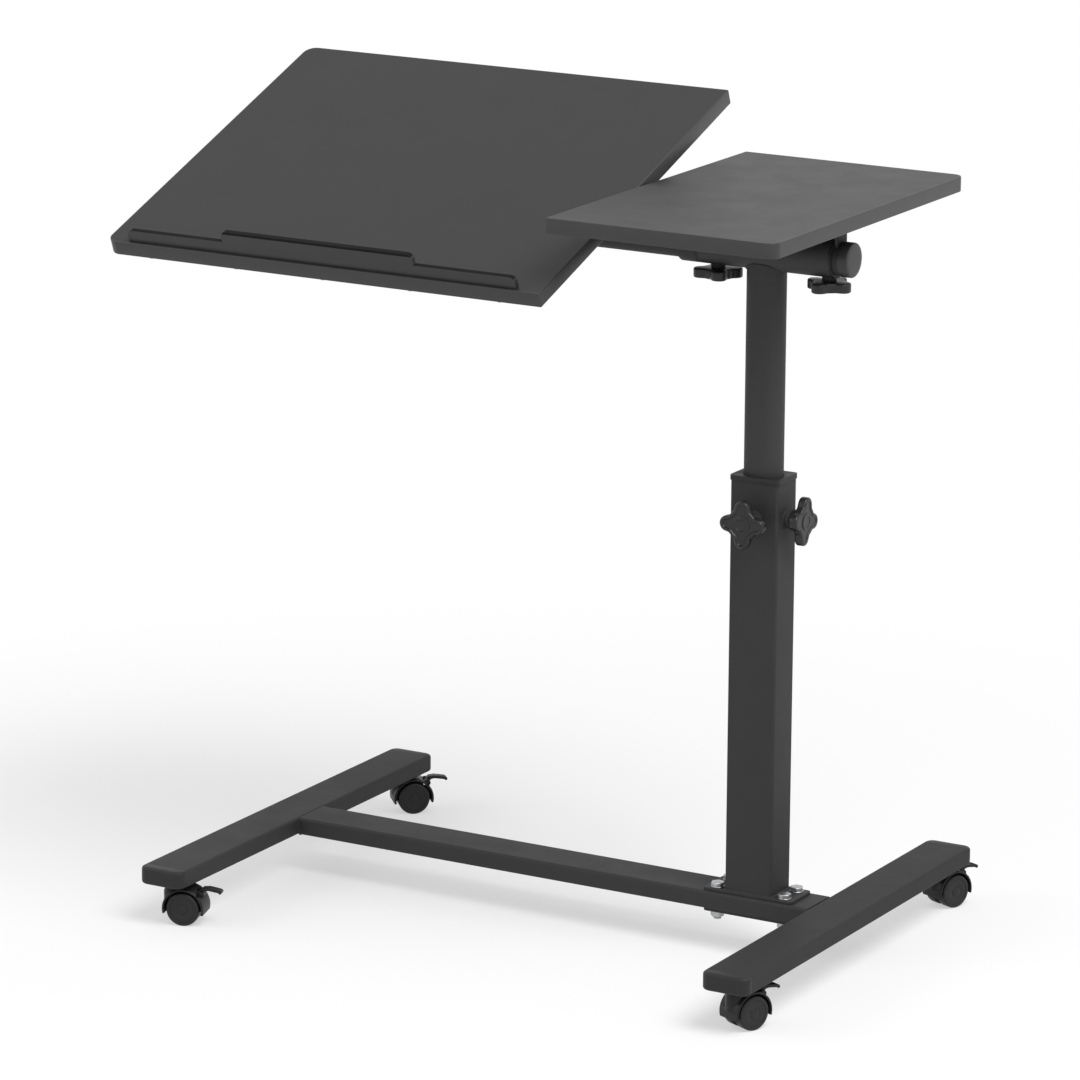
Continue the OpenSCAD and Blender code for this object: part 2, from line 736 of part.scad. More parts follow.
module inner_bracket() { color(STEEL) at_tilt() panel_bracket(inner_bracket_x); }
module outer_bracket() { color(STEEL) at_tilt() panel_bracket(outer_bracket_x); }

// A pan-head screw up through a bracket's plate into a board, whose underside is at z = 0
module wood_screw() {
    translate([0, 0, -bracket_t - screw_head_h]) cylinder(d = screw_head_d, h = screw_head_h);
    translate([0, 0, -bracket_t - eps]) cylinder(d = screw_d, h = screw_depth + bracket_t + eps);
}

module panel_screws() { color(ZINC) at_tilt() at_bracket_screws() wood_screw(); }

module rod_end_cap() {
    color(PLASTIC) at_tilt() {
        rod_x(rod_end_x - rod_cap_t, rod_end_x, rod_r);
        rod_x(rod_end_x - eps, rod_end_x + rod_plug_len, rod_r - rod_wall - plug_gap);
    }
}

// Front view of the stop bar: low ends, a raised middle, rounded corners and steps. The ends'
// rounding stays above the board however low they are
module stop_profile() {
    nose_profile(stop_len, stop_end_h, min(stop_r, stop_end_h / 2 - 0.2));
    nose_profile(stop_mid_len, stop_mid_h, stop_r);
}

module stop_bar() {
    color(PLASTIC) at_tilt() difference() {
        translate([laptop_mid_x, stop_y, axis_drop + board_t]) along_y(stop_t) stop_profile();
        at_stop_screws() cylinder(d = stop_screw_d, h = stop_screw_len);
    }
}

module stop_bar_screws() {
    color(ZINC) at_tilt() at_stop_screws() {
        translate([0, 0, -screw_head_h]) cylinder(d = screw_head_d, h = screw_head_h);
        translate([0, 0, -eps]) cylinder(d = stop_screw_d, h = stop_screw_len + eps);
    }
}

// Side board
module at_side_screws() {
    for (x = [side_bracket_x0 + side_screw_inset, stub_end_x - side_screw_inset], sy = [-1, 1])
        translate([x, sy * (side_bracket_w / 2 - side_screw_inset), axis_drop]) children();
}

module side_panel() {
    color(BOARD) at_axis() difference() {
        board_blank(side_x0, side_x0 + side_board_w, false);
        at_side_screws() translate([0, 0, -1]) cylinder(d = screw_d, h = screw_depth + 1);
    }
}

module stub_rod() { color(STEEL) at_axis() ring_x(rod_inner_gap, stub_end_x, rod_r, rod_r - rod_wall); }

module side_bracket() {
    plate_z = axis_drop - bracket_t;
    color(STEEL) at_axis() difference() {
        union() {
            translate([side_bracket_x0, -side_bracket_w / 2, plate_z])
                cube([side_bracket_len, side_bracket_w, bracket_t]);
            translate([saddle_x, -saddle_w / 2, rod_r / 2])
                cube([saddle_t, saddle_w, plate_z - rod_r / 2 + eps]);
        }
        rod_x(saddle_x - 1, saddle_x + saddle_t + 1, rod_r);
        at_side_screws() screw_hole();
    }
}

module side_screws() { color(ZINC) at_axis() at_side_screws() wood_screw(); }

module stub_end_cap() {
    color(PLASTIC) at_axis() {
        ring_x(stub_end_x - stub_cap_len, stub_end_x + eps, rod_r + stub_cap_wall, rod_r);
        rod_x(stub_end_x, stub_end_x + rod_cap_t, rod_r + stub_cap_wall);
    }
}

// Star knobs stand along +Z: hub from z = 0, then the lobed grip
module star_profile() {
    lobe_at = knob_d / 2 - lobe_r;
    circle(lobe_at);
    for (i = [0:knob_lobes - 1]) rotate(360 / knob_lobes * i) {
        translate([lobe_at, 0]) circle(lobe_r);
        translate([0, -lobe_r]) square([lobe_at, 2 * lobe_r]);
    }
}

module star_knob(hub_len, grip_t, bore_len) {
    color(PLASTIC) difference() {
        union() {
            cylinder(d = knob_hub_d, h = hub_len + eps);
            translate([0, 0, hub_len]) linear_extrude(grip_t) star_profile();
        }
        translate([0, 0, -1]) cylinder(d = stud_d, h = bore_len + 1);
    }
}

// Each stud ends a running gap short of the tube or rod that it clamps
knob_face = 3;
post_stud_in = knob_hub_len + post_knob_t - knob_face;
tilt_stud_in = tilt_knob_t - knob_face;
stud_front_len = front_boss_len + (post_d - mast_d) / 2;
stud_side_len = side_boss_len + (post_w - mast_w) / 2;
tilt_stud_len = head_boss_h + sleeve_r - rod_r;

module at_front_knob() { table() on_front_face() translate([0, 0, front_boss_len + run_gap]) children(); }
module at_side_knob() { table() on_side_face() translate([0, 0, side_boss_len + run_gap]) children(); }
module at_tilt_knob(x) { at_axis() translate([x, 0, head_boss_z - run_gap]) rotate([180, 0, 0]) children(); }

module stud(outside, inside) { translate([0, 0, -outside]) cylinder(d = stud_d, h = outside + inside); }

module post_knob() { star_knob(knob_hub_len, post_knob_t, post_stud_in); }
module tilt_knob() { star_knob(0, tilt_knob_t, tilt_stud_in); }
module front_knob() { at_front_knob() rotate(180) post_knob(); }
module front_knob_stud() { color(ZINC) at_front_knob() stud(stud_front_len, post_stud_in); }
module side_knob() { at_side_knob() rotate(80) post_knob(); }
module side_knob_stud() { color(ZINC) at_side_knob() stud(stud_side_len, post_stud_in); }
module left_tilt_knob() { at_tilt_knob(-left_knob_x) rotate(60) tilt_knob(); }
module left_tilt_stud() { color(ZINC) at_tilt_knob(-left_knob_x) stud(tilt_stud_len, tilt_stud_in); }
module right_tilt_knob() { at_tilt_knob(right_knob_x) rotate(8) tilt_knob(); }
module right_tilt_stud() { color(ZINC) at_tilt_knob(right_knob_x) stud(tilt_stud_len, tilt_stud_in); }

// Casters, drawn with the swivel axis at the origin and the axle at +X
module along_axle(r, h) { at_axle() cylinder(r = r, h = h, center = true); }
module along_lever(r, h) { at_lever() cylinder(r = r, h = h, center = true); }

module caster_housing() {
    inner_r = hood_r - hood_t;
    color(PLASTIC) difference() {
        union() {
            difference() {
                union() {
                    along_axle(hood_r, hood_w);
                    translate([0, 0, wheel_r]) cylinder(d = neck_d, h = neck_top_z - wheel_r);
                }
                along_axle(inner_r, hood_w + neck_d);
            }
            along_axle(inner_r + hood_t / 2, web_t);
            for (sy = [-1, 1]) translate([0, sy * (ear_inner + ear_t / 2), 0]) along_lever(ear_r, ear_t);
        }
        translate([caster_trail - 2 * hood_r, -hood_w, -hood_r])
            cube([4 * hood_r, 2 * hood_w, wheel_r - hood_drop + hood_r]);
        along_axle(axle_d / 2 + fit, hood_w);
        along_lever(lever_slot_r, 2 * ear_inner);
        along_lever(lever_pin_r + fit, hood_w);
        translate([0, 0, stem_bottom_z]) cylinder(d = stem_d, h = foot_h);
    }
}

module caster_stem() {
    color(ZINC) translate([0, 0, stem_bottom_z]) cylinder(d = stem_d, h = stem_top_z - stem_bottom_z);
}

// Half section of one wheel, from the axle outwards
module wheel_profile() {
    r = wheel_r;
    bore = axle_d / 2;
    polygon([[bore, 0], [r - 1, 0], [r, 1], [r, wheel_w - 1.4], [r - 1.4, wheel_w], [r - 4, wheel_w],
        [r - 4.6, wheel_w - 0.6], [bore + 3.4, wheel_w - 0.6], [bore + 2.8, wheel_w], [0, wheel_w],
        [0, wheel_w - wheel_dish], [bore, wheel_w - wheel_dish]]);
}

module caster_wheels() {
    color(WHEEL) at_axle() for (turn = [0, 180])
        rotate([turn, 0, 0]) translate([0, 0, wheel_gap / 2]) rotate_extrude() wheel_profile();
    color(ZINC) along_axle(axle_d / 2, wheel_gap + 2 * (wheel_w - wheel_dish));
}

// Side view of the brake lever, from its barrel out to its tip
module lever_link(a, b) {
    d = b - a;
    translate(a) rotate(atan2(d[1], d[0])) translate([0, -lever_t / 2]) square([norm(d), lever_t]);
    translate(b) circle(lever_t / 2);
}

module brake_lever() {
    p = [lever_pivot_x, lever_pivot_z];
    knee = p + [lever_rise, lever_rise];
    shelf = knee + lever_shelf;
    tip = [lever_reach - lever_t / 2, shelf[1] - lever_tip_drop];
    color(PLASTIC) {
        rotate([90, 0, 0]) linear_extrude(lever_w, center = true) {
            translate(p) circle(lever_barrel_r);
            translate(p + lever_cam_offset * [cos(-45), sin(-45)]) circle(lever_cam_r);
            lever_link(p, knee);
            lever_link(knee, shelf);
            lever_link(shelf, tip);
        }
        along_lever(lever_pin_r, 2 * (ear_inner + ear_t));
    }
}

module front_left_housing() { at_caster(FRONT_LEFT) caster_housing(); }
module front_left_stem() { at_caster(FRONT_LEFT) caster_stem(); }
module front_left_wheels() { at_caster(FRONT_LEFT) caster_wheels(); }
module front_left_brake() { at_caster(FRONT_LEFT) brake_lever(); }
module rear_left_housing() { at_caster(REAR_LEFT) caster_housing(); }
module rear_left_stem() { at_caster(REAR_LEFT) caster_stem(); }
module rear_left_wheels() { at_caster(REAR_LEFT) caster_wheels(); }
module rear_left_brake() { at_caster(REAR_LEFT) brake_lever(); }
module front_right_housing() { at_caster(FRONT_RIGHT) caster_housing(); }
module front_right_stem() { at_caster(FRONT_RIGHT) caster_stem(); }
module front_right_wheels() { at_caster(FRONT_RIGHT) caster_wheels(); }
module front_right_brake() { at_caster(FRONT_RIGHT) brake_lever(); }
module rear_right_housing() { at_caster(REAR_RIGHT) caster_housing(); }
module rear_right_stem() { at_caster(REAR_RIGHT) caster_stem(); }
module rear_right_wheels() { at_caster(REAR_RIGHT) caster_wheels(); }
module rear_right_brake() { at_caster(REAR_RIGHT) brake_lever(); }

left_foot();
right_foot();
base_bar();
foot_end_caps();
caster_sockets();
bar_tongue();
tongue_screws();
post_plate();
post_tube();
clamp_plate();
post_bolts();
post_nuts();
collar_bush();
front_boss();
side_boss();
mast_tube();
mast_glide();
head_sleeve();
left_head_bush();
right_head_bush();
head_bosses();
laptop_panel();
tilt_rod();
rod_collar();
inner_bracket();
outer_bracket();
panel_screws();
rod_end_cap();
stop_bar();
stop_bar_screws();
side_panel();
stub_rod();
side_bracket();
side_screws();
stub_end_cap();
front_knob();
front_knob_stud();
side_knob();
side_knob_stud();
left_tilt_knob();
left_tilt_stud();
right_tilt_knob();
right_tilt_stud();
front_left_housing();
front_left_stem();
front_left_wheels();
front_left_brake();
rear_left_housing();
rear_left_stem();
rear_left_wheels();
rear_left_brake();
front_right_housing();
front_right_stem();
front_right_wheels();
front_right_brake();
rear_right_housing();
rear_right_stem();
rear_right_wheels();
rear_right_brake();
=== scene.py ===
import json
import math
import bmesh
import bpy
from mathutils import Matrix, Vector


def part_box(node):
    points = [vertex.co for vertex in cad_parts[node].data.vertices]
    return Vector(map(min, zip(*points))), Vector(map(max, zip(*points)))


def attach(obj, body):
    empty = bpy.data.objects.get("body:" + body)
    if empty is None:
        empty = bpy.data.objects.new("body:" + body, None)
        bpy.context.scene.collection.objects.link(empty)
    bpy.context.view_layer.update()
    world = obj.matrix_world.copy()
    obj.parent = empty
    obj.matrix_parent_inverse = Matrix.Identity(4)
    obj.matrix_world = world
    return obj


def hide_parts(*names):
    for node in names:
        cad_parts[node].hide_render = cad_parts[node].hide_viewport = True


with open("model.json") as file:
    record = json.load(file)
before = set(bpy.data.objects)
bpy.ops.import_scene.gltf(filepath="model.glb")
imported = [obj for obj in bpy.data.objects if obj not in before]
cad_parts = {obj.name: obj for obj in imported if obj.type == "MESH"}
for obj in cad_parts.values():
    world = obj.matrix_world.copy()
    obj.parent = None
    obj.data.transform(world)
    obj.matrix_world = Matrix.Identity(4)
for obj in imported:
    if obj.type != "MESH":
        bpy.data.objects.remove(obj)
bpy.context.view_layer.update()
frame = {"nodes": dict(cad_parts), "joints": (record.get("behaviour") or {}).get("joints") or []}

# Camera, light and floor
# A long lens from the user's right, 14 degrees above level. One broad soft lamp above the
# right front, a weaker one on the left, and a pale floor that keeps a soft shadow.
MM = 0.001
photo_width_px = 1080
focal_px = 5688.1
sensor_mm = 36.0
view_azimuth = 29.829
view_pitch = 14.400
view_roll = 0.346
camera_place = Vector((2.7224, -4.7528, 1.7891))

camera_data = bpy.data.cameras.new("camera")
camera_data.sensor_width = sensor_mm
camera_data.lens = focal_px / photo_width_px * sensor_mm
camera_data.clip_end = 100.0
camera = bpy.data.objects.new("camera", camera_data)
camera.matrix_world = (
    Matrix.Translation(camera_place)
    @ Matrix.Rotation(math.radians(view_azimuth), 4, "Z")
    @ Matrix.Rotation(math.radians(90 - view_pitch), 4, "X")
    @ Matrix.Rotation(math.radians(view_roll), 4, "Z")
)
bpy.context.scene.collection.objects.link(camera)
bpy.context.scene.camera = camera
bpy.context.scene.view_settings.view_transform = "Standard"


def soft_lamp(name, place, aim, width, watts):
    """A round area lamp turned towards its aim."""
    data = bpy.data.lights.new(name, "AREA")
    data.shape = "DISK"
    data.size = width
    data.energy = watts
    lamp = bpy.data.objects.new(name, data)
    lamp.location = place
    lamp.rotation_euler = (Vector(aim) - Vector(place)).to_track_quat("-Z", "Y").to_euler()
    bpy.context.scene.collection.objects.link(lamp)


soft_lamp("key_lamp", (2.9, -1.1, 4.8), (0.0, 0.0, 0.4), 3.4, 235)
soft_lamp("fill_lamp", (-3.4, -2.4, 2.6), (0.0, 0.0, 0.4), 2.6, 40)


def seen_directly(tree):
    """1 for the rays that see a surface from the camera, in a mirror or through glass."""
    rays = tree.nodes.new("ShaderNodeLightPath")
    total = rays.outputs["Is Camera Ray"]
    for kind in ("Is Glossy Ray", "Is Transmission Ray"):
        either = tree.nodes.new("ShaderNodeMath")
        either.operation = "MAXIMUM"
        tree.links.new(total, either.inputs[0])
        tree.links.new(rays.outputs[kind], either.inputs[1])
        total = either.outputs[0]
    return total


world = bpy.data.worlds.new("studio")
bpy.context.scene.world = world
world.use_nodes = True
world_tree = world.node_tree
room_light = world_tree.nodes["Background"]
room_light.inputs["Color"].default_value = (1.0, 1.0, 1.0, 1.0)
room_light.inputs["Strength"].default_value = 0.45
seen_light = world_tree.nodes.new("ShaderNodeBackground")
seen_light.inputs["Color"].default_value = (1.0, 1.0, 1.0, 1.0)
seen_light.inputs["Strength"].default_value = 1.0
world_mix = world_tree.nodes.new("ShaderNodeMixShader")
world_tree.links.new(seen_directly(world_tree), world_mix.inputs["Fac"])
world_tree.links.new(room_light.outputs[0], world_mix.inputs[1])
world_tree.links.new(seen_light.outputs[0], world_mix.inputs[2])
world_tree.links.new(world_mix.outputs[0], world_tree.nodes["World Output"].inputs["Surface"])

floor_mesh = bmesh.new()
bmesh.ops.create_grid(floor_mesh, x_segments=1, y_segments=1, size=40)
floor_data = bpy.data.meshes.new("floor")
floor_mesh.to_mesh(floor_data)
floor_mesh.free()
floor = bpy.data.objects.new("floor", floor_data)
bpy.context.scene.collection.objects.link(floor)
floor_paint = bpy.data.materials.new("pale_floor")
floor_paint.use_nodes = True
floor_tree = floor_paint.node_tree
floor_shader = floor_tree.nodes["Principled BSDF"]
floor_shader.inputs["Base Color"].default_value = (0.93, 0.93, 0.93, 1.0)
floor_shader.inputs["Roughness"].default_value = 0.9
floor_shader.inputs["Specular IOR Level"].default_value = 0.1
white_paper = floor_tree.nodes.new("ShaderNodeEmission")
white_paper.inputs["Strength"].default_value = 1.0
floor_place = floor_tree.nodes.new("ShaderNodeTexCoord")
away = floor_tree.nodes.new("ShaderNodeVectorMath")
away.operation = "LENGTH"
fade = floor_tree.nodes.new("ShaderNodeMapRange")
fade.interpolation_type = "SMOOTHSTEP"
fade.inputs["From Min"].default_value = 0.45
fade.inputs["From Max"].default_value = 1.30
fade.inputs["To Min"].default_value = 0.5
fade.inputs["To Max"].default_value = 1.0
share = floor_tree.nodes.new("ShaderNodeMath")
share.operation = "MULTIPLY"
floor_mix = floor_tree.nodes.new("ShaderNodeMixShader")
floor_tree.links.new(floor_place.outputs["Object"], away.inputs[0])
floor_tree.links.new(away.outputs["Value"], fade.inputs["Value"])
floor_tree.links.new(fade.outputs["Result"], share.inputs[0])
floor_tree.links.new(seen_directly(floor_tree), share.inputs[1])
floor_tree.links.new(share.outputs[0], floor_mix.inputs["Fac"])
floor_tree.links.new(floor_shader.outputs[0], floor_mix.inputs[1])
floor_tree.links.new(white_paper.outputs[0], floor_mix.inputs[2])
floor_tree.links.new(floor_mix.outputs[0], floor_tree.nodes["Material Output"].inputs["Surface"])
floor_data.materials.append(floor_paint)

# Feet, base bar and tongue
# Flat steel tube 50 x 18 mm with rounded corners, cut, welded to the left foot and powder
# coated in charcoal. The bar slides onto a steel tongue and is screwed to the right foot.


def finish(name, mesh, body, material, replaced=(), sharp_degrees=30.0):
    """Makes the piece's object from its mesh, and gives it its material and body."""
    data = bpy.data.meshes.new(name)
    mesh.to_mesh(data)
    mesh.free()
    data.shade_smooth()
    data.set_sharp_from_angle(angle=math.radians(sharp_degrees))
    data.materials.append(material)
    piece = bpy.data.objects.new(name, data)
    bpy.context.scene.collection.objects.link(piece)
    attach(piece, body)
    if replaced:
        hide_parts(*replaced)


def merged_copy(node):
    """The CAD node's solid with its loose triangles joined and its flat faces whole."""
    source = bpy.data.meshes.new("copy")
    bare = bmesh.new()
    bare.from_mesh(frame["nodes"][node].data)
    bare.to_mesh(source)
    bare.free()
    # The corner attributes hold the loose triangles' own normals.
    for attribute in [a.name for a in source.attributes if a.domain == "CORNER"]:
        if not attribute.startswith("."):
            source.attributes.remove(source.attributes[attribute])
    mesh = bmesh.new()
    mesh.from_mesh(source)
    bpy.data.meshes.remove(source)
    for face in mesh.faces:
        face.material_index = 0
    bmesh.ops.remove_doubles(mesh, verts=mesh.verts, dist=0.002 * MM)
    bmesh.ops.dissolve_limit(
        mesh, angle_limit=math.radians(0.2), verts=mesh.verts, edges=mesh.edges
    )
    return mesh


def clean_edges(mesh, size, segments=2, least_degrees=40.0):
    """Breaks every sharp edge, as paint or a mould does."""
    sharp = [
        e
        for e in mesh.edges
        if len(e.link_faces) == 2 and e.calc_face_angle(0.0) > math.radians(least_degrees)
    ]
    bmesh.ops.bevel(
        mesh,
        geom=sharp,
        offset=size,
        segments=segments,
        profile=0.5,
        affect="EDGES",
        clamp_overlap=True,
        material=-1,
    )


def surface(
    name, color, roughness, grain_mm, grain_height,
    cloud=0.10, metallic=0.0, gloss_swing=0.06, specular=0.5,
):
    """A finish with a fine grain in its relief, slow clouds in its colour and an uneven gloss."""
    made = bpy.data.materials.new(name)
    made.use_nodes = True
    tree = made.node_tree
    shader = tree.nodes["Principled BSDF"]
    shader.inputs["Metallic"].default_value = metallic
    shader.inputs["Specular IOR Level"].default_value = specular
    place = tree.nodes.new("ShaderNodeTexCoord")

    grain = tree.nodes.new("ShaderNodeTexNoise")
    grain.inputs["Scale"].default_value = 1.0 / (grain_mm * MM)
    grain.inputs["Detail"].default_value = 3.0
    clouds = tree.nodes.new("ShaderNodeTexNoise")
    clouds.inputs["Scale"].default_value = 24.0
    clouds.inputs["Detail"].default_value = 5.0
    clouds.inputs["Roughness"].default_value = 0.6
    for texture in (grain, clouds):
        tree.links.new(place.outputs["Object"], texture.inputs["Vector"])

    blend = tree.nodes.new("ShaderNodeMath")
    blend.operation = "MULTIPLY_ADD"
    blend.inputs[1].default_value = 0.35
    tree.links.new(grain.outputs["Fac"], blend.inputs[0])
    tree.links.new(clouds.outputs["Fac"], blend.inputs[2])
    tint = tree.nodes.new("ShaderNodeValToRGB")
    tint.color_ramp.elements[0].position = 0.45
    tint.color_ramp.elements[1].position = 0.90
    tint.color_ramp.elements[0].color = (*[c * (1 - cloud) for c in color], 1.0)
    tint.color_ramp.elements[1].color = (*[c * (1 + cloud) for c in color], 1.0)
    tree.links.new(blend.outputs["Value"], tint.inputs["Fac"])
    tree.links.new(tint.outputs["Color"], shader.inputs["Base Color"])

    gloss = tree.nodes.new("ShaderNodeMapRange")
    gloss.inputs["From Min"].default_value = 0.3
    gloss.inputs["From Max"].default_value = 0.7
    gloss.inputs["To Min"].default_value = roughness - gloss_swing
    gloss.inputs["To Max"].default_value = roughness + gloss_swing
    tree.links.new(clouds.outputs["Fac"], gloss.inputs["Value"])
    tree.links.new(gloss.outputs["Result"], shader.inputs["Roughness"])

    relief = tree.nodes.new("ShaderNodeBump")
    relief.inputs["Strength"].default_value = grain_height
    relief.inputs["Distance"].default_value = 0.05 * MM
    tree.links.new(grain.outputs["Fac"], relief.inputs["Height"])
    tree.links.new(relief.outputs["Normal"], shader.inputs["Normal"])
    return made


powder_coat = surface(
    "charcoal_powder_coat", (0.031, 0.031, 0.0305), 0.64, 0.45, 0.45, specular=0.24
)
# The right foot takes a darker copy of the same charcoal powder coat: painted shade, not a
# different paint.
painted_shade_coat = surface(
    "powder_coat_painted_shade", (0.026, 0.026, 0.0255), 0.66, 0.45, 0.45, specular=0.20
)

for tube, coat in (
    ("left_foot", powder_coat), ("right_foot", painted_shade_coat), ("base_bar", powder_coat)
):
    finish(tube + "_tube", merged_copy(tube), "base", coat, [tube])

tongue = merged_copy("bar_tongue")
clean_edges(tongue, 0.5 * MM)
finish("base_tongue", tongue, "base", powder_coat, ["bar_tongue"])

# Weld beads
# Steel tubes are joined by short welds: round the bar's end at the left foot below its top,
# round the post and its bosses, and where the mast meets the cross sleeve.


ripple = 0.12
ripple_turn = 2.1


def add_bead(mesh, points, radius, closed):
    """A weld bead: a thin tube that follows the seam, with the ripple of its puddles."""
    seam = bpy.data.curves.new("seam", "CURVE")
    seam.dimensions = "3D"
    seam.bevel_depth = radius
    seam.bevel_resolution = 2
    seam.use_fill_caps = not closed
    line = seam.splines.new("POLY")
    line.points.add(len(points) - 1)
    for i, (knot, point) in enumerate(zip(line.points, points)):
        knot.co = (*point, 1.0)
        knot.radius = 1.0 + ripple * math.cos(ripple_turn * i)
    line.use_cyclic_u = closed
    holder = bpy.data.objects.new("seam", seam)
    data = bpy.data.meshes.new_from_object(holder)
    mesh.from_mesh(data)
    bpy.data.meshes.remove(data)
    bpy.data.objects.remove(holder)
    bpy.data.curves.remove(seam)


def along(points, step):
    """The same path with a point at about every step."""
    path = [Vector(points[0])]
    for start, end in zip(points, points[1:]):
        start, end = Vector(start), Vector(end)
        count = max(1, round((end - start).length / step))
        path += [start.lerp(end, (i + 1) / count) for i in range(count)]
    return path


bar_low, bar_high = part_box("base_bar")
post_low, post_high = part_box("post_tube")
sleeve_low, sleeve_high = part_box("head_sleeve")
mast_low, mast_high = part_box("mast_tube")
post_x = (post_low.x + post_high.x) / 2
post_y = (post_low.y + post_high.y) / 2
rod_z = (sleeve_low.z + sleeve_high.z) / 2
bead_r = 1.3 * MM
boss_bead_r = 0.9 * MM
bead_step = 1.2 * MM
boss_points = 48
saddle_points = 96
tube_round = 3 * MM

base_welds = bmesh.new()
bar_path = [
    (bar_low.x, bar_low.y, bar_high.z - tube_round),
    (bar_low.x, bar_low.y, bar_low.z + tube_round),
    (bar_low.x, bar_low.y + tube_round, bar_low.z),
    (bar_low.x, bar_high.y - tube_round, bar_low.z),
    (bar_low.x, bar_high.y, bar_low.z + tube_round),
    (bar_low.x, bar_high.y, bar_high.z - tube_round),
]
add_bead(base_welds, along(bar_path, bead_step), bead_r, False)
half_w, half_d = (post_high.x - post_low.x) / 2, (post_high.y - post_low.y) / 2
post_path = [
    (post_x + sx * half_w, post_y + sy * half_d, post_low.z)
    for sx, sy in ((-1, -1), (1, -1), (1, 1), (-1, 1), (-1, -1))
]
add_bead(base_welds, along(post_path, bead_step)[:-1], bead_r, True)
for boss, on_front in (("front_boss", True), ("side_boss", False)):
    low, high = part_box(boss)
    middle = (low + high) / 2
    boss_r = (high.z - low.z) / 2
    ring = []
    for i in range(boss_points):
        turn = math.tau * i / boss_points
        across, up = boss_r * math.cos(turn), boss_r * math.sin(turn)
        if on_front:
            ring.append((middle.x + across, high.y, middle.z + up))
        else:
            ring.append((low.x, middle.y + across, middle.z + up))
    add_bead(base_welds, ring, boss_bead_r, True)
finish("base_welds", base_welds, "base", powder_coat, sharp_degrees=60)

mast_half_w, mast_half_d = (mast_high.x - mast_low.x) / 2, (mast_high.y - mast_low.y) / 2
sleeve_r = (sleeve_high.z - sleeve_low.z) / 2
saddle = []
for i in range(saddle_points):
    turn = math.tau * (i + 0.5) / saddle_points
    flat = (mast_half_w - mast_half_d) * math.copysign(1, math.cos(turn))
    y = mast_half_d * math.sin(turn)
    x = flat + mast_half_d * math.cos(turn)
    saddle.append((post_x + x, post_y + y, rod_z - math.sqrt(sleeve_r**2 - y**2)))
mast_weld = bmesh.new()
add_bead(mast_weld, saddle, bead_r, True)
finish("mast_weld", mast_weld, "mast", powder_coat, sharp_degrees=60)

# Foot end caps
# Moulded black plastic plugs pushed into both ends of each foot. The nose is round seen
# from above, and a fine groove shows where it meets the tube.
moulded_black = surface(
    "moulded_black_plastic", (0.021, 0.021, 0.021), 0.52, 0.6, 0.40, specular=0.24
)
cap_len = 12 * MM
cap_nose_r = 9 * MM
cap_seam = 0.35 * MM
plug_len = 7.7 * MM
plug_inset = 1.6 * MM


def join(target, part, place=None):
    """Adds a copy of the part, at a place, to the target and frees the part."""
    if place is not None:
        part.transform(place)
    data = bpy.data.meshes.new("part")
    part.to_mesh(data)
    part.free()
    target.from_mesh(data)
    bpy.data.meshes.remove(data)


def block(size, centre):
    """A box of a size round its centre."""
    part = bmesh.new()
    bmesh.ops.create_cube(part, size=1.0)
    part.transform(Matrix.Translation(centre) @ Matrix.Diagonal((*size, 1.0)))
    return part


def bevel_where(part, chosen, size, segments):
    """Rounds the edges whose two ends pass the test."""
    edges = [e for e in part.edges if chosen(*[v.co for v in e.verts])]
    bmesh.ops.bevel(
        part, geom=edges, offset=size, segments=segments, profile=0.5, affect="EDGES", material=-1
    )


foot_caps = bmesh.new()
for foot in ("left_foot", "right_foot"):
    low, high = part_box(foot)
    width, height = high.x - low.x, high.z - low.z
    for end_y, turn in ((high.y, 0.0), (low.y, math.pi)):
        nose = block((width, cap_len, height), (0, cap_len / 2, 0))
        bevel_where(
            nose,
            lambda a, b: min(a.y, b.y) > 0.9 * cap_len and abs(a.z - b.z) > 0.9 * height,
            cap_nose_r,
            10,
        )
        bevel_where(
            nose,
            lambda a, b: abs(a.z - b.z) < 0.1 * MM and max(a.y, b.y) > 0.1 * MM,
            tube_round,
            5,
        )
        bevel_where(nose, lambda a, b: max(a.y, b.y) < 0.01 * MM, cap_seam, 2)
        plug_size = (width - 2 * plug_inset, plug_len, height - 2 * plug_inset)
        join(nose, block(plug_size, (0, -plug_len / 2, 0)))
        end = Matrix.Translation(((low.x + high.x) / 2, end_y, (low.z + high.z) / 2))
        join(foot_caps, nose, end @ Matrix.Rotation(turn, 4, "Z"))
finish("foot_caps", foot_caps, "base", moulded_black, ["foot_end_caps"])

# Caster sockets, post plate and clamp plate
# Turned steel sockets pressed into the feet, and two 3 mm plates that hold the bar between
# them: one welded under the post, one loose below.
zinc = surface("zinc_plate", (0.42, 0.43, 0.44), 0.38, 0.35, 0.15, cloud=0.12, metallic=1.0)

sockets = merged_copy("caster_sockets")
clean_edges(sockets, 0.3 * MM)
finish("stem_sockets", sockets, "base", zinc, ["caster_sockets"])
for plate in ("post_plate", "clamp_plate"):
    part = merged_copy(plate)
    clean_edges(part, 0.6 * MM)
    finish(plate + "_coated", part, "base", powder_coat, [plate])

# Base bolts and nuts
# Four zinc-plated M8 hex bolts with washers clamp the post's plate, the bar and the clamp
# plate. Their thread ends stand out below the nuts.
bolt_pitch_x = 74 * MM
bolt_pitch_y = 26 * MM
hex_width = 12 * MM
head_height = 4 * MM
washer_r = 7 * MM
washer_t = 1 * MM
thread_r = 4 * MM
thread_pitch = 1.25 * MM
thread_depth = 0.6 * MM
thread_steps = 32
side_worn = 0.35 * MM
top_worn = 0.6 * MM
bolt_turn = 17
next_bolt_turn = 23


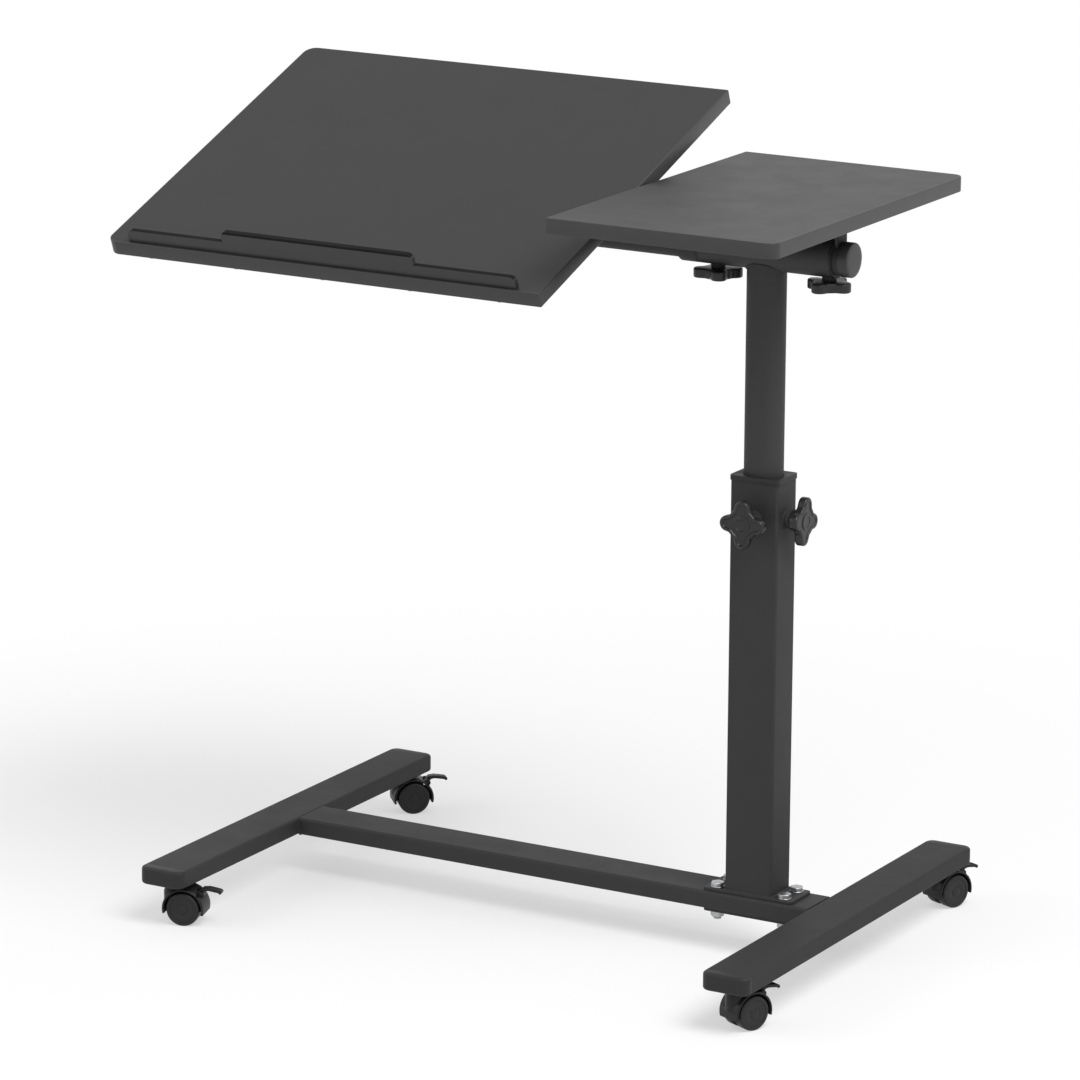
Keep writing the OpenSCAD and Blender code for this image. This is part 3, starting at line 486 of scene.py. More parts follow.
def revolve(outline, segments=64, closed=False):
    """Spins an outline of (radius, height) points about Z."""
    part = bmesh.new()
    corners = [part.verts.new((r, 0, z)) for r, z in outline]
    edges = [part.edges.new(pair) for pair in zip(corners, corners[1:])]
    if closed:
        edges.append(part.edges.new((corners[-1], corners[0])))
    bmesh.ops.spin(
        part,
        geom=corners + edges,
        cent=(0, 0, 0),
        axis=(0, 0, 1),
        angle=math.tau,
        steps=segments,
        use_merge=True,
    )
    bmesh.ops.remove_doubles(part, verts=part.verts, dist=0.002 * MM)
    bmesh.ops.recalc_face_normals(part, faces=part.faces)
    return part


def hexagon(width, height):
    """A hex prism from z = 0 up, with the worn corners of a cold-forged head."""
    part = bmesh.new()
    corner_r = width / 2 / math.cos(math.pi / 6)
    bmesh.ops.create_cone(
        part, cap_ends=True, segments=6, radius1=corner_r, radius2=corner_r, depth=height
    )
    part.transform(Matrix.Translation((0, 0, height / 2)))
    bevel_where(part, lambda a, b: abs(a.z - b.z) > height / 2, side_worn, 2)
    bevel_where(part, lambda a, b: min(a.z, b.z) > height - 0.01 * MM, top_worn, 3)
    return part


def thread(length):
    """An M8 thread from z = 0 down: a core with one helical ridge round it."""
    root = thread_r - thread_depth
    tip = 0.3 * MM
    part = revolve(
        [(0, 0), (root, 0), (root, tip - length), (root - tip, -length), (0, -length)],
        thread_steps,
    )
    ridge = bmesh.new()
    section = [(root - 0.1 * MM, -0.5), (thread_r, -0.1), (thread_r, 0.1), (root - 0.1 * MM, 0.5)]
    corners = [ridge.verts.new((r, 0, z * MM - thread_pitch)) for r, z in section]
    edges = [ridge.edges.new(pair) for pair in zip(corners, corners[1:] + corners[:1])]
    turns = int(length / thread_pitch) - 1
    bmesh.ops.spin(
        ridge,
        geom=corners + edges,
        cent=(0, 0, 0),
        axis=(0, 0, -1),
        dvec=(0, 0, -thread_pitch / thread_steps),
        angle=math.tau * turns,
        steps=thread_steps * turns,
        use_merge=False,
    )
    bmesh.ops.holes_fill(ridge, edges=[e for e in ridge.edges if e.is_boundary], sides=0)
    bmesh.ops.recalc_face_normals(ridge, faces=ridge.faces)
    join(part, ridge)
    return part


def washer():
    """A flat washer from z = 0 up, with its outer rims broken."""
    bore = thread_r + 0.2 * MM
    soft = 0.25 * MM
    return revolve(
        [(bore, 0), (washer_r - soft, 0), (washer_r, soft), (washer_r, washer_t - soft),
         (washer_r - soft, washer_t), (bore, washer_t)],
        48,
        closed=True,
    )


plate_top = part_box("post_plate")[1].z
bolt_len = plate_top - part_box("post_bolts")[0].z
nuts_low, nuts_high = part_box("post_nuts")
nut_height = nuts_high.z - washer_t - nuts_low.z
upside_down = Matrix.Rotation(math.pi, 4, "X")
base_bolts = bmesh.new()
base_nuts = bmesh.new()
for i, (sx, sy) in enumerate(((-1, -1), (-1, 1), (1, -1), (1, 1))):
    spot = Matrix.Translation((post_x + sx * bolt_pitch_x / 2, post_y + sy * bolt_pitch_y / 2, 0))
    turned = Matrix.Rotation(math.radians(bolt_turn + next_bolt_turn * i), 4, "Z")
    top = spot @ Matrix.Translation((0, 0, plate_top))
    head_seat = top @ Matrix.Translation((0, 0, washer_t))
    join(base_bolts, washer(), top)
    join(base_bolts, hexagon(hex_width, head_height), head_seat @ turned)
    join(base_bolts, thread(bolt_len), top)
    under = spot @ Matrix.Translation((0, 0, nuts_high.z - washer_t))
    join(base_nuts, washer(), under)
    join(base_nuts, hexagon(hex_width, nut_height), under @ upside_down @ turned)
finish("base_bolts", base_bolts, "base", zinc, ["post_bolts"])
finish("base_nuts", base_nuts, "base", zinc, ["post_nuts"])

# Post and collar
# Rectangular steel tube 52 x 40 mm, welded to its plate. A black plastic bush in its top
# guides the mast, and two threaded bosses on its faces take the height knobs.
part = merged_copy("post_tube")
finish("lower_post", part, "base", powder_coat, ["post_tube"])
collar = merged_copy("collar_bush")
clean_edges(collar, 0.6 * MM)
finish("post_collar", collar, "base", moulded_black, ["collar_bush"])
for boss in ("front_boss", "side_boss"):
    part = merged_copy(boss)
    clean_edges(part, 0.7 * MM)
    finish(boss + "_coated", part, "base", powder_coat, [boss])

# Mast, cross sleeve and bushes
# The flat oval mast slides in the post on a plastic glide. The round sleeve across its head
# holds two plastic bushes, whose flanges show at both ends.
# The mast and sleeve take a paler copy of the same charcoal powder coat: painted light that lifts
# them where the boards shade them.
painted_light_coat = surface(
    "powder_coat_painted_light", (0.037, 0.037, 0.0365), 0.62, 0.45, 0.45, specular=0.28
)
for tube in ("mast_tube", "head_sleeve"):
    finish(tube + "_coated", merged_copy(tube), "mast", painted_light_coat, [tube])
for bush in ("mast_glide", "left_head_bush", "right_head_bush"):
    part = merged_copy(bush)
    clean_edges(part, 0.5 * MM)
    finish(bush + "_moulded", part, "mast", moulded_black, [bush])

part = merged_copy("head_bosses")
clean_edges(part, 0.4 * MM)
finish("clamp_bosses", part, "mast", powder_coat, ["head_bosses"])

# Rods, stop collar and brackets
# Each board turns on its own 32 mm steel rod. Bent plates welded to the rods are screwed to
# the boards from below.
for rod, body in (("tilt_rod", "laptop_board"), ("stub_rod", "side_board")):
    finish(rod + "_coated", merged_copy(rod), body, powder_coat, [rod])
for steel, body, edge in (
    ("rod_collar", "laptop_board", 1.0 * MM),
    ("inner_bracket", "laptop_board", 0.5 * MM),
    ("outer_bracket", "laptop_board", 0.5 * MM),
    ("side_bracket", "side_board", 0.5 * MM),
):
    part = merged_copy(steel)
    clean_edges(part, edge)
    finish(steel + "_coated", part, body, powder_coat, [steel])

# Rod end caps
# Black plastic caps: a domed one over the side board's rod, and a plug in the far end of
# the laptop board's rod.
stub_low, stub_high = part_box("stub_end_cap")
cap_r = (stub_high.z - stub_low.z) / 2
cap_depth = stub_high.x - stub_low.x
bore_r = 16 * MM
face_t = 2.5 * MM
over_cap = revolve(
    [
        (bore_r, 0),
        (cap_r - 0.4 * MM, 0),
        (cap_r, 0.4 * MM),
        (cap_r, cap_depth - 1.6 * MM),
        (cap_r - 0.5 * MM, cap_depth - 0.6 * MM),
        (cap_r - 1.6 * MM, cap_depth - 0.15 * MM),
        (cap_r - 6 * MM, cap_depth - 0.05 * MM),
        (0, cap_depth),
        (0, cap_depth - face_t),
        (bore_r, cap_depth - face_t),
    ],
    96,
    closed=True,
)
facing_right = Matrix.Rotation(math.pi / 2, 4, "Y")
over_cap.transform(Matrix.Translation((stub_low.x, post_y, rod_z)) @ facing_right)
# The side cap is a satin black plastic, a shade paler than the other black plastics: painted light
# on its face toward the lamp.
painted_light_cap_plastic = surface(
    "satin_black_cap_painted_light", (0.028, 0.028, 0.028), 0.42, 0.8, 0.2, specular=0.35
)
finish("side_rod_cap", over_cap, "side_board", painted_light_cap_plastic, ["stub_end_cap"])

end_low, end_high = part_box("rod_end_cap")
end_r = (end_high.z - end_low.z) / 2
end_t = 3 * MM
rod_plug_r = 13.9 * MM
rod_plug_len = end_high.x - end_low.x
end_cap = revolve(
    [
        (0, 0),
        (end_r - 1.2 * MM, 0),
        (end_r - 0.3 * MM, 0.4 * MM),
        (end_r, 1.2 * MM),
        (end_r, end_t),
        (rod_plug_r, end_t),
        (rod_plug_r, rod_plug_len - 1.5 * MM),
        (rod_plug_r - 1.5 * MM, rod_plug_len),
        (0, rod_plug_len),
    ],
    72,
)
end_cap.transform(Matrix.Translation((end_low.x, post_y, rod_z)) @ facing_right)
finish("laptop_rod_cap", end_cap, "laptop_board", moulded_black, ["rod_end_cap"])

# Boards
# Particle board 15 mm thick with charcoal melamine on both faces. A thin band, a shade paler,
# is glued round the edges. The two outer corners of each board are round.
melamine = surface(
    "charcoal_melamine", (0.026, 0.026, 0.026), 0.45, 0.30, 0.20,
    cloud=0.05, gloss_swing=0.03, specular=0.20,
)
edge_band = surface(
    "charcoal_edge_band", (0.037, 0.037, 0.037), 0.36, 0.5, 0.18,
    cloud=0.06, gloss_swing=0.03, specular=0.35,
)
board_depth = 400 * MM
board_t = 15 * MM
axis_drop = 37 * MM
corner_r = 12 * MM
band_t = 1.45 * MM
band_lip = 0.02 * MM
core_round = 0.12 * MM
end_round = 1.5 * MM
rim_round = 0.8 * MM
board_tilt = math.radians(20.3)


def board_slab(x0, x1, round_left, inset, height, base):
    """A slab in its rod's own frame, with its two outer corners round."""
    middle = ((x0 + x1) / 2, 0, base + height / 2)
    slab = block((x1 - x0 - 2 * inset, board_depth - 2 * inset, height), middle)
    outer = x0 + inset if round_left else x1 - inset
    bevel_where(
        slab,
        lambda a, b: abs(a.z - b.z) > height / 2 and abs(a.x - outer) < 0.1 * MM,
        corner_r - inset,
        14,
    )
    return slab


def board(name, node, band_name, body, round_left, tilt):
    """A board's core with its two faces, and the band round its edges with soft rims."""
    low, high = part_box(node)
    place = Matrix.Translation((0, post_y, rod_z)) @ Matrix.Rotation(tilt, 4, "X")
    core = board_slab(low.x, high.x, round_left, band_t, board_t, axis_drop)
    bevel_where(core, lambda a, b: abs(a.z - b.z) < 0.01 * MM, core_round, 1)
    core.transform(place)
    finish(name, core, body, melamine, [node])
    band_height = board_t - 2 * band_lip
    band = board_slab(low.x, high.x, round_left, 0.0, band_height, axis_drop + band_lip)
    square_x = high.x if round_left else low.x
    bevel_where(
        band,
        lambda a, b: abs(a.z - b.z) > board_t / 2 and abs(a.x - square_x) < 0.1 * MM,
        end_round,
        4,
    )
    # Without its flat faces the slab is a ring, which then gets the band's thickness.
    flat = [f for f in band.faces if abs(f.normal.z) > 0.9]
    bmesh.ops.delete(band, geom=flat, context="FACES_ONLY")
    bmesh.ops.recalc_face_normals(band, faces=band.faces)
    bmesh.ops.solidify(band, geom=band.faces[:], thickness=band_t - 0.05 * MM)
    bmesh.ops.recalc_face_normals(band, faces=band.faces)
    middle = Vector(((low.x + high.x) / 2, 0, axis_drop + board_t / 2))
    outer = [
        f
        for f in band.faces
        if abs(f.normal.z) < 0.5 and f.normal.dot(f.calc_center_median() - middle) > 0
    ]
    rims = {
        e
        for f in outer
        for e in f.edges
        if abs(e.verts[0].co.z - e.verts[1].co.z) < 0.01 * MM
    }
    bmesh.ops.bevel(
        band,
        geom=list(rims),
        offset=rim_round,
        segments=4,
        profile=0.5,
        affect="EDGES",
        material=-1,
    )
    band.transform(place)
    finish(band_name, band, body, edge_band)


board("laptop_board_core", "laptop_panel", "laptop_edge_band", "laptop_board", True, board_tilt)
board("side_board_core", "side_panel", "side_edge_band", "side_board", False, 0.0)

# Stop bar
# A black plastic strip screwed along the laptop board's near edge from below. Its middle is raised
# and all its edges are round.
# Its top 2.7 mm and every face turned upward are painted near black: painted shade that keeps its
# top edges dark under the lamp.
stop_plastic = surface(
    "satin_black_strip", (0.030, 0.030, 0.030), 0.42, 0.5, 0.2, specular=0.35
)
painted_shade_top = surface(
    "painted_shade_near_black", (0.006, 0.006, 0.006), 0.7, 0.5, 0.2, specular=0.12
)
shaded_top_depth = 2.7 * MM
shaded_top_slope = 0.7
stop = merged_copy("stop_bar")
stop.transform(Matrix.Rotation(-board_tilt, 4, "X") @ Matrix.Translation((0, -post_y, -rod_z)))
clean_edges(stop, 1.0 * MM, segments=3)
shaded_top_foot = max(v.co.z for v in stop.verts) - shaded_top_depth
bmesh.ops.bisect_plane(
    stop,
    geom=stop.verts[:] + stop.edges[:] + stop.faces[:],
    dist=0.01 * MM,
    plane_co=(0, 0, shaded_top_foot),
    plane_no=(0, 0, 1),
)
# Faces above that line or turned upward take the near-black painted shade.
for face in stop.faces:
    above = face.calc_center_median().z > shaded_top_foot
    face.material_index = 1 if above or face.normal.z > shaded_top_slope else 0
stop.transform(Matrix.Translation((0, post_y, rod_z)) @ Matrix.Rotation(board_tilt, 4, "X"))
finish("laptop_stop", stop, "laptop_board", stop_plastic, ["stop_bar"])
bpy.data.meshes["laptop_stop"].materials.append(painted_shade_top)

# Screws
# Zinc-plated pan-head screws with a cross recess: eight through the laptop board's brackets,
# four through the side board's, five up into the stop bar, four in the tongue.
screw_head_r = 4 * MM
screw_head_h = 2.4 * MM
recess_depth = 1.2 * MM
first_turn = 0.7
next_turn = 1.3


def carve(solid, tool, operation):
    """Cuts or adds the tool to the solid with an exact boolean, and frees both."""
    holders = []
    for part in (solid, tool):
        data = bpy.data.meshes.new("carve")
        part.to_mesh(data)
        part.free()
        holder = bpy.data.objects.new("carve", data)
        bpy.context.scene.collection.objects.link(holder)
        holders.append(holder)
    change = holders[0].modifiers.new("carve", "BOOLEAN")
    change.operation = operation
    change.solver = "EXACT"
    change.use_self = True
    change.object = holders[1]
    done = holders[0].evaluated_get(bpy.context.evaluated_depsgraph_get())
    made = bmesh.new()
    made.from_mesh(done.to_mesh())
    done.to_mesh_clear()
    for holder in holders:
        data = holder.data
        bpy.data.objects.remove(holder)
        bpy.data.meshes.remove(data)
    return made


head = revolve(
    [
        (0, -screw_head_h),
        (screw_head_r * 0.45, -screw_head_h * 0.97),
        (screw_head_r * 0.75, -screw_head_h * 0.80),
        (screw_head_r * 0.93, -screw_head_h * 0.52),
        (screw_head_r, -screw_head_h * 0.20),
        (screw_head_r, 0),
        (0, 0),
    ],
    40,
)
cross = bmesh.new()
for turn in (0.0, math.pi / 2):
    arm = block((screw_head_r * 1.05, screw_head_r * 0.24, recess_depth * 2), (0, 0, -screw_head_h))
    join(cross, arm, Matrix.Rotation(turn, 4, "Z"))
head = carve(head, cross, "DIFFERENCE")


def screw_set(name, node, body, spots, shank_r, length):
    """A screw at each spot, whose head hangs below the spot and whose shank goes up."""
    screws = bmesh.new()
    for i, spot in enumerate(spots):
        turned = spot @ Matrix.Rotation(first_turn + next_turn * i, 4, "Z")
        shank = revolve([(0, 0), (shank_r, 0), (shank_r, length * 0.8), (0, length)], 20)
        join(screws, head.copy(), turned)
        join(screws, shank, turned)
    finish(name, screws, body, zinc, [node])


bracket_t = 3 * MM
bracket_inset = 95 * MM
bracket_screw_ys = (104 * MM, 52 * MM)
wood_screw_r = 2 * MM
wood_screw_len = 14 * MM
laptop_low, laptop_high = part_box("laptop_panel")
level_frame = Matrix.Translation((0, post_y, rod_z))
laptop_frame = level_frame @ Matrix.Rotation(board_tilt, 4, "X")
spots = [
    laptop_frame @ Matrix.Translation((x, sign * y, axis_drop - bracket_t))
    for x in (laptop_low.x + bracket_inset, laptop_high.x - bracket_inset)
    for sign in (-1, 1)
    for y in bracket_screw_ys
]
screw_set(
    "bracket_screws", "panel_screws", "laptop_board", spots, wood_screw_r, wood_screw_len
)

stop_low, stop_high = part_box("stop_bar")
stop_end = 22 * MM
stop_y = -194.5 * MM
stop_gaps = 4
stop_span = stop_high.x - stop_low.x - 2 * stop_end
stop_screw_r = 1.5 * MM
stop_screw_len = 23.5 * MM
spots = []
for i in range(stop_gaps + 1):
    x = stop_low.x + stop_end + stop_span * i / stop_gaps
    spots.append(laptop_frame @ Matrix.Translation((x, stop_y, axis_drop)))
screw_set(
    "stop_screws", "stop_bar_screws", "laptop_board", spots, stop_screw_r, stop_screw_len
)

side_low, side_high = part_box("side_bracket")
side_inset = 12 * MM
side_y = (side_high.y - side_low.y) / 2 - side_inset
spots = [
    level_frame @ Matrix.Translation((x, sign * side_y, axis_drop - bracket_t))
    for x in (side_low.x + side_inset, side_high.x - side_inset)
    for sign in (-1, 1)
]
screw_set(
    "side_board_screws", "side_screws", "side_board", spots, wood_screw_r, wood_screw_len
)

tongue_low, tongue_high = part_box("bar_tongue")
tongue_x = (tongue_low.x + tongue_high.x) / 2
tongue_off_x = 12 * MM
tongue_off_y = 10.5 * MM
tongue_screw_r = 2 * MM
tongue_screw_len = 13.5 * MM
spots = [
    Matrix.Translation((tongue_x + sx * tongue_off_x, post_y + sy * tongue_off_y, bar_low.z))
    for sx in (-1, 1)
    for sy in (-1, 1)
]
screw_set(
    "tongue_screw_set", "tongue_screws", "base", spots, tongue_screw_r, tongue_screw_len
)
head.free()

# Star knobs
# Four-lobed knobs of glass-filled black plastic, moulded round an M8 stud. Two on a short hub
# clamp the mast, two without a hub sit under the sleeve and clamp the rods.
knob_plastic = surface(
    "glass_filled_black", (0.016, 0.016, 0.016), 0.34, 0.8, 0.4, cloud=0.15, specular=0.35
)
lobe_count = 4
lobe_at = 16 * MM
lobe_r = 8 * MM
outline_points = 160
softening = 6
hub_r = 10.5 * MM


def star_reach(turn):
    """Radius of the knob's outline at an angle from the middle of a lobe."""
    half_lobe = math.pi / lobe_count
    off = abs((turn + half_lobe) % (2 * half_lobe) - half_lobe)
    if off < math.atan2(lobe_r, lobe_at):
        return lobe_at * math.cos(off) + math.sqrt(lobe_r**2 - (lobe_at * math.sin(off)) ** 2)
    return max(lobe_at, lobe_r / math.sin(off))


def star_knob(hub_len, grip_t, edge):
    """Stands along +Z: the hub from z = 0, then the lobed grip with a dish round its hub cap."""
    part = bmesh.new()
    bmesh.ops.create_circle(part, cap_ends=True, segments=outline_points, radius=lobe_at)
    for v in part.verts:
        v.co *= star_reach(math.atan2(v.co.y, v.co.x)) / lobe_at
    for _ in range(softening):
        bmesh.ops.smooth_vert(part, verts=part.verts, factor=0.5, use_axis_x=True, use_axis_y=True)
    part.transform(Matrix.Translation((0, 0, hub_len)))
    grown = bmesh.ops.extrude_face_region(part, geom=part.faces[:])
    raised = [v for v in grown["geom"] if isinstance(v, bmesh.types.BMVert)]
    bmesh.ops.translate(part, verts=raised, vec=(0, 0, grip_t))
    bmesh.ops.recalc_face_normals(part, faces=part.faces)
    bevel_where(part, lambda a, b: abs(a.z - b.z) < 0.01 * MM, edge, 4)
    top = hub_len + grip_t
    for thickness, depth in ((1.2 * MM, 0.0), (0.8 * MM, -0.9 * MM)):
        face = [f for f in part.faces if len(f.verts) == outline_points and f.normal.z > 0.9]
        bmesh.ops.inset_region(
            part, faces=face, thickness=thickness, depth=depth, use_even_offset=True
        )
    hub_cap = revolve(
        [
            (0, top - 2.5 * MM),
            (9.2 * MM, top - 2.5 * MM),
            (9.0 * MM, top - 0.5 * MM),
            (8.2 * MM, top),
            (6.0 * MM, top),
            (5.4 * MM, top - 0.6 * MM),
            (0, top - 0.6 * MM),
        ],
        56,
    )
    join(part, hub_cap)
    if hub_len > 0:
        neck = revolve(
            [
                (4.2 * MM, 0),
                (hub_r - 0.7 * MM, 0),
                (hub_r - 0.1 * MM, 0.6 * MM),
                (hub_r, hub_len - 1.4 * MM),
                (hub_r + 1.2 * MM, hub_len + 0.4 * MM),
                (hub_r + 1.2 * MM, hub_len + 2 * MM),
                (4.2 * MM, hub_len + 2 * MM),
            ],
            56,
            closed=True,
        )
        join(part, neck)
    return part


def place_knob(name, node, body, facing, spin, knob):
    """Puts the knob's z = 0 on the side of its node's box that faces the table."""
    joint = next(j for j in frame["joints"] if j["name"] == node + "_turn")
    outward = Vector(joint["axis"])
    seat = Vector(joint["pos_m"])
    low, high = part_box(node)
    for axis in range(3):
        if abs(outward[axis]) > 0.5:
            seat[axis] = low[axis] if outward[axis] > 0 else high[axis]
    knob.transform(Matrix.Translation(seat) @ facing @ Matrix.Rotation(math.radians(spin), 4, "Z"))
    finish(name, knob, body, knob_plastic, [node])


to_front = Matrix.Rotation(math.pi / 2, 4, "X")
to_right = Matrix.Rotation(math.pi / 2, 4, "Y")
downward = Matrix.Rotation(math.pi, 4, "X")
hub_knob = (7 * MM, 9 * MM, 2.2 * MM)
flat_knob = (0.0, 9.5 * MM, 1.6 * MM)
for name, node, body, facing, spin, sizes in (
    ("front_star_knob", "front_knob", "front_height_knob", to_front, 180, hub_knob),
    ("side_star_knob", "side_knob", "side_height_knob", to_right, 80, hub_knob),
    ("left_star_knob", "left_tilt_knob", "left_tilt_lock", downward, 60, flat_knob),
    ("right_star_knob", "right_tilt_knob", "right_tilt_lock", downward, 8, flat_knob),
):
    place_knob(name, node, body, facing, spin, star_knob(*sizes))

# Studs and stems
# The knobs' M8 studs and the casters' 8 mm stems are plain turned steel, zinc-plated. They
# keep the solids of the frame.
studs = ["front_knob_stud", "side_knob_stud", "left_tilt_stud", "right_tilt_stud"]
stems = ["front_left_stem", "rear_left_stem", "front_right_stem", "rear_right_stem"]
for node in studs + stems:
    for held in frame["nodes"][node].material_slots:
        held.material = zinc

# Casters
# Twin-wheel furniture casters of black nylon: a hood over two 34 mm wheels, a web between
# them, a neck round the stem, and a brake lever on a pin at the back of the hood.
caster_nylon = surface(
    "black_nylon", (0.011, 0.011, 0.011), 0.42, 0.7, 0.35, cloud=0.12, specular=0.25
)
wheel_nylon = surface(
    "dark_grey_nylon", (0.019, 0.019, 0.019), 0.46, 0.7, 0.35, cloud=0.10, specular=0.25
)
wheel_r = 17 * MM
wheel_w = 11 * MM
wheel_gap = 6.4 * MM
trail = 12 * MM
hood_r = 21.5 * MM
hood_t = 2.2 * MM
hood_half = wheel_gap / 2 + wheel_w
hood_drop = 5 * MM
web_t = 5 * MM
neck_r = 9 * MM
neck_top = 41.7 * MM
pivot = Vector((27.2 * MM, 0, 32.2 * MM))
slot_r = 5.1 * MM
slot_half = 5.1 * MM
ear_r = 3.5 * MM
ear_t = 2.5 * MM
pin_r = 1.2 * MM
axle_r = 2.5 * MM
lever_half = 4.5 * MM
barrel_r = 2.5 * MM
cam_r = 3.5 * MM
cam_offset = Vector((0.92 * MM, 0, -0.92 * MM))
axle = Matrix.Translation((trail, 0, wheel_r))
sideways = Matrix.Rotation(-math.pi / 2, 4, "X")


def drum(radius, half_width, segments=96):
    """A plain cylinder along Z, centred on the origin."""
    rim = [(radius, -half_width), (radius, half_width)]
    return revolve([(0, -half_width), *rim, (0, half_width)], segments)


def hood_shell():
    """A band round the axle, open below, with its outer rims rounded."""
    part = bmesh.new()
    start = math.asin(hood_drop / hood_r)
    soft = 1.4 * MM
    section = [(hood_r - hood_t, -hood_half + 0.3 * MM), (hood_r - hood_t + 0.3 * MM, -hood_half)]
    for i in range(6):
        turn = math.pi / 2 * i / 5
        rise, across = soft * math.sin(turn), soft * math.cos(turn)
        section.append((hood_r - soft + rise, -hood_half + soft - across))
    section += [(r, -y) for r, y in reversed(section)]
    corners = [part.verts.new((r, y, 0)) for r, y in section]
    edges = [part.edges.new(pair) for pair in zip(corners, corners[1:] + corners[:1])]
    part.faces.new(corners)
    bmesh.ops.rotate(part, verts=part.verts, cent=(0, 0, 0), matrix=Matrix.Rotation(start, 3, "Y"))
    swept = bmesh.ops.spin(
        part,
        geom=corners + edges,
        cent=(0, 0, 0),
        axis=(0, -1, 0),
        angle=math.pi + 2 * start,
        steps=64,
        use_merge=False,
    )
    last = [v for v in swept["geom_last"] if isinstance(v, bmesh.types.BMVert)]
    open_end = [e for e in part.edges if e.is_boundary and e.verts[0] in last]
    bmesh.ops.contextual_create(part, geom=open_end)
    bmesh.ops.recalc_face_normals(part, faces=part.faces)
    return part


def housing():
    """The hood with its neck, ears and web, less the lever's slot and the holes of the pins."""
    extras = revolve(
        [
            (0, 20 * MM),
            (neck_r + 1.5 * MM, 20 * MM),
            (neck_r + 1.5 * MM, 33 * MM),
            (neck_r + 0.5 * MM, 36 * MM),
            (neck_r, 38 * MM),
            (neck_r, neck_top - 0.6 * MM),
            (neck_r - 0.6 * MM, neck_top),
            (0, neck_top),
        ],
        64,
    )
    for side in (-1, 1):
        ear = drum(ear_r, ear_t / 2, 40)
        ear.transform(
            Matrix.Translation(pivot + Vector((0, side * (slot_half + ear_t / 2), 0))) @ sideways
        )
        extras = carve(extras, ear, "UNION")
    wheel_space = drum(hood_r - hood_t / 2, 2 * hood_half)
    wheel_space.transform(axle @ sideways)
    extras = carve(extras, wheel_space, "DIFFERENCE")
    shell = hood_shell()
    shell.transform(axle)
    made = carve(shell, extras, "UNION")
    web = drum(hood_r - hood_t / 2, web_t / 2)
    web.transform(axle @ sideways)
    cut = bmesh.ops.bisect_plane(
        web,
        geom=web.verts[:] + web.edges[:] + web.faces[:],
        plane_co=(0, 0, wheel_r - hood_drop + 0.5 * MM),
        plane_no=(0, 0, -1),
        clear_outer=True,
    )
    rim = [e for e in cut["geom_cut"] if isinstance(e, bmesh.types.BMEdge)]
    bmesh.ops.contextual_create(web, geom=rim)
    bmesh.ops.recalc_face_normals(web, faces=web.faces)
    made = carve(made, web, "UNION")
    for radius, half, place in (
        (slot_r, slot_half, Matrix.Translation(pivot)),
        (pin_r + 0.05 * MM, hood_half, Matrix.Translation(pivot)),
        (axle_r + 0.05 * MM, hood_half, axle),
    ):
        hole = drum(radius, half, 40)
        hole.transform(place @ sideways)
        made = carve(made, hole, "DIFFERENCE")
    return made


def wheel_pair():
    """Two wheels with a rounded tread, a fine ring and a low hub cap, on one steel axle."""
    rim_r = 13.4 * MM
    hub_cap_r = 5.2 * MM
    made = bmesh.new()
    for turn in (0.0, math.pi):
        wheel = revolve(
            [
                (0, 0),
                (wheel_r - 1.0 * MM, 0),
                (wheel_r - 0.3 * MM, 0.3 * MM),
                (wheel_r, 1.0 * MM),
                (wheel_r, wheel_w - 1.8 * MM),
                (wheel_r - 0.3 * MM, wheel_w - 0.9 * MM),
                (wheel_r - 1.0 * MM, wheel_w - 0.3 * MM),
                (wheel_r - 2.0 * MM, wheel_w - 0.05 * MM),
                (wheel_r - 3.0 * MM, wheel_w),
                (rim_r, wheel_w - 0.05 * MM),
                (rim_r - 0.3 * MM, wheel_w - 0.6 * MM),
                (rim_r - 0.7 * MM, wheel_w - 0.6 * MM),
                (hub_cap_r + 0.6 * MM, wheel_w - 0.35 * MM),
                (hub_cap_r + 0.2 * MM, wheel_w - 0.6 * MM),
                (hub_cap_r, wheel_w - 0.3 * MM),
                (hub_cap_r - 1.0 * MM, wheel_w - 0.05 * MM),
                (0, wheel_w),
            ],
            96,
        )
        inner = -wheel_gap / 2
        join(wheel, revolve([(0, inner), (axle_r, inner), (axle_r, 0), (0, 0)], 32))
        lift = Matrix.Translation((0, 0, wheel_gap / 2))
        join(made, wheel, axle @ sideways @ Matrix.Rotation(turn, 4, "X") @ lift)
    return made


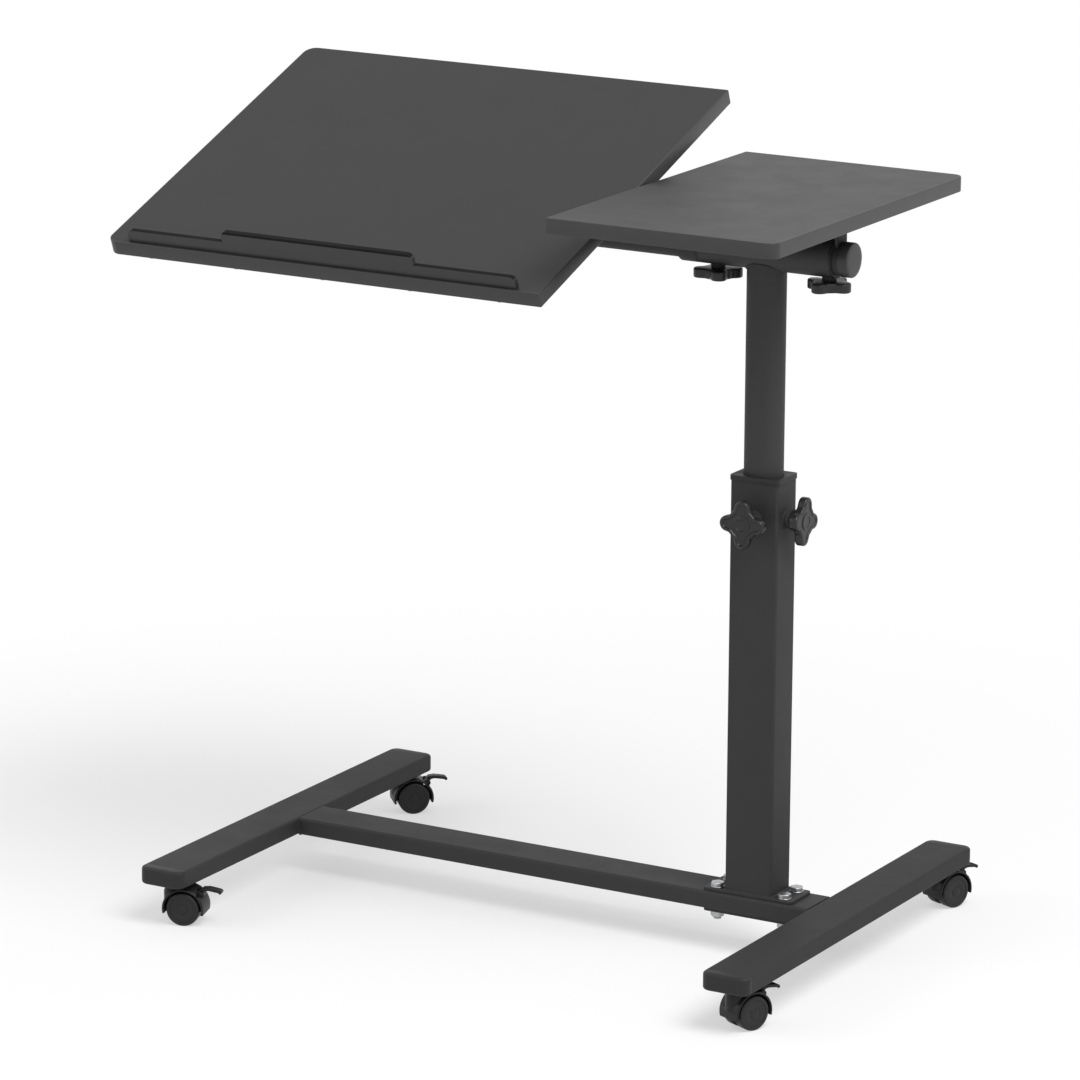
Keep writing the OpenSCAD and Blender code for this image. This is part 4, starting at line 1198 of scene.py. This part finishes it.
def lever():
    """The lever: up from its barrel, over a knee and out to a turned-down lip, with ribs."""
    knee, tip = (9.2, 6.6), (21.2, 4.5)
    outline = [
        (-1.2, 1.6), (2.6, 5.9), knee, tip, (22.8, 3.0), (22.2, 0.8),
        (20.4, 0.7), (19.6, 1.9), (9.4, 3.5), (5.3, 3.1), (1.6, -0.8),
    ]
    made = bmesh.new()
    side = made.faces.new([made.verts.new((x * MM, -lever_half, z * MM)) for x, z in outline])
    bmesh.ops.bevel(
        made, geom=side.verts[:], offset=1.0 * MM, segments=4, profile=0.5, affect="VERTICES",
        clamp_overlap=True, material=-1,
    )
    grown = bmesh.ops.extrude_face_region(made, geom=made.faces[:])
    raised = [v for v in grown["geom"] if isinstance(v, bmesh.types.BMVert)]
    bmesh.ops.translate(made, verts=raised, vec=(0, 2 * lever_half, 0))
    bmesh.ops.recalc_face_normals(made, faces=made.faces)
    bevel_where(made, lambda a, b: abs(a.y - b.y) < 0.01 * MM, 0.4 * MM, 2)
    slope = math.atan2(knee[1] - tip[1], tip[0] - knee[0])
    first_rib, rib_pitch, rib_count = 13.6, 1.9, 4
    for i in range(rib_count):
        along_top = (first_rib + rib_pitch * i) * MM
        rib = block((0.7 * MM, 2 * lever_half - 1.6 * MM, 0.8 * MM), (0, 0, 0))
        bevel_where(rib, lambda a, b: min(a.z, b.z) > 0, 0.25 * MM, 2)
        height = knee[1] * MM - (along_top - knee[0] * MM) * math.tan(slope)
        join(made, rib, Matrix.Translation((along_top, 0, height)) @ Matrix.Rotation(slope, 4, "Y"))
    cam = drum(cam_r, lever_half, 40)
    join(made, cam, Matrix.Translation(cam_offset) @ sideways)
    join(made, drum(barrel_r, lever_half, 40), sideways)
    join(made, drum(pin_r, slot_half + ear_t, 24), sideways)
    made.transform(Matrix.Translation(pivot))
    return made


hood_master, wheels_master, lever_master = housing(), wheel_pair(), lever()
for corner in ("front_left", "rear_left", "front_right", "rear_right"):
    swivel = next(j for j in frame["joints"] if j["name"] == corner + "_swivel")
    roll = next(j for j in frame["joints"] if j["name"] == corner + "_roll")
    heading = Matrix.Rotation(math.atan2(-roll["axis"][0], roll["axis"][1]), 4, "Z")
    stand = Matrix.Translation((*swivel["pos_m"][:2], 0)) @ heading
    for master, name, body, slot, material, node in (
        (hood_master, "_hood", "_caster", "caster_plastic", caster_nylon, "_housing"),
        (wheels_master, "_twin_wheels", "_wheel_pair", "wheel_plastic", wheel_nylon, "_wheels"),
        (lever_master, "_brake_hook", "_brake_lever", "caster_plastic", caster_nylon, "_brake"),
    ):
        part = master.copy()
        part.transform(stand)
        replaced = [corner + node]
        finish(corner + name, part, corner + body, material, replaced, sharp_degrees=35)
for master in (hood_master, wheels_master, lever_master):
    master.free()
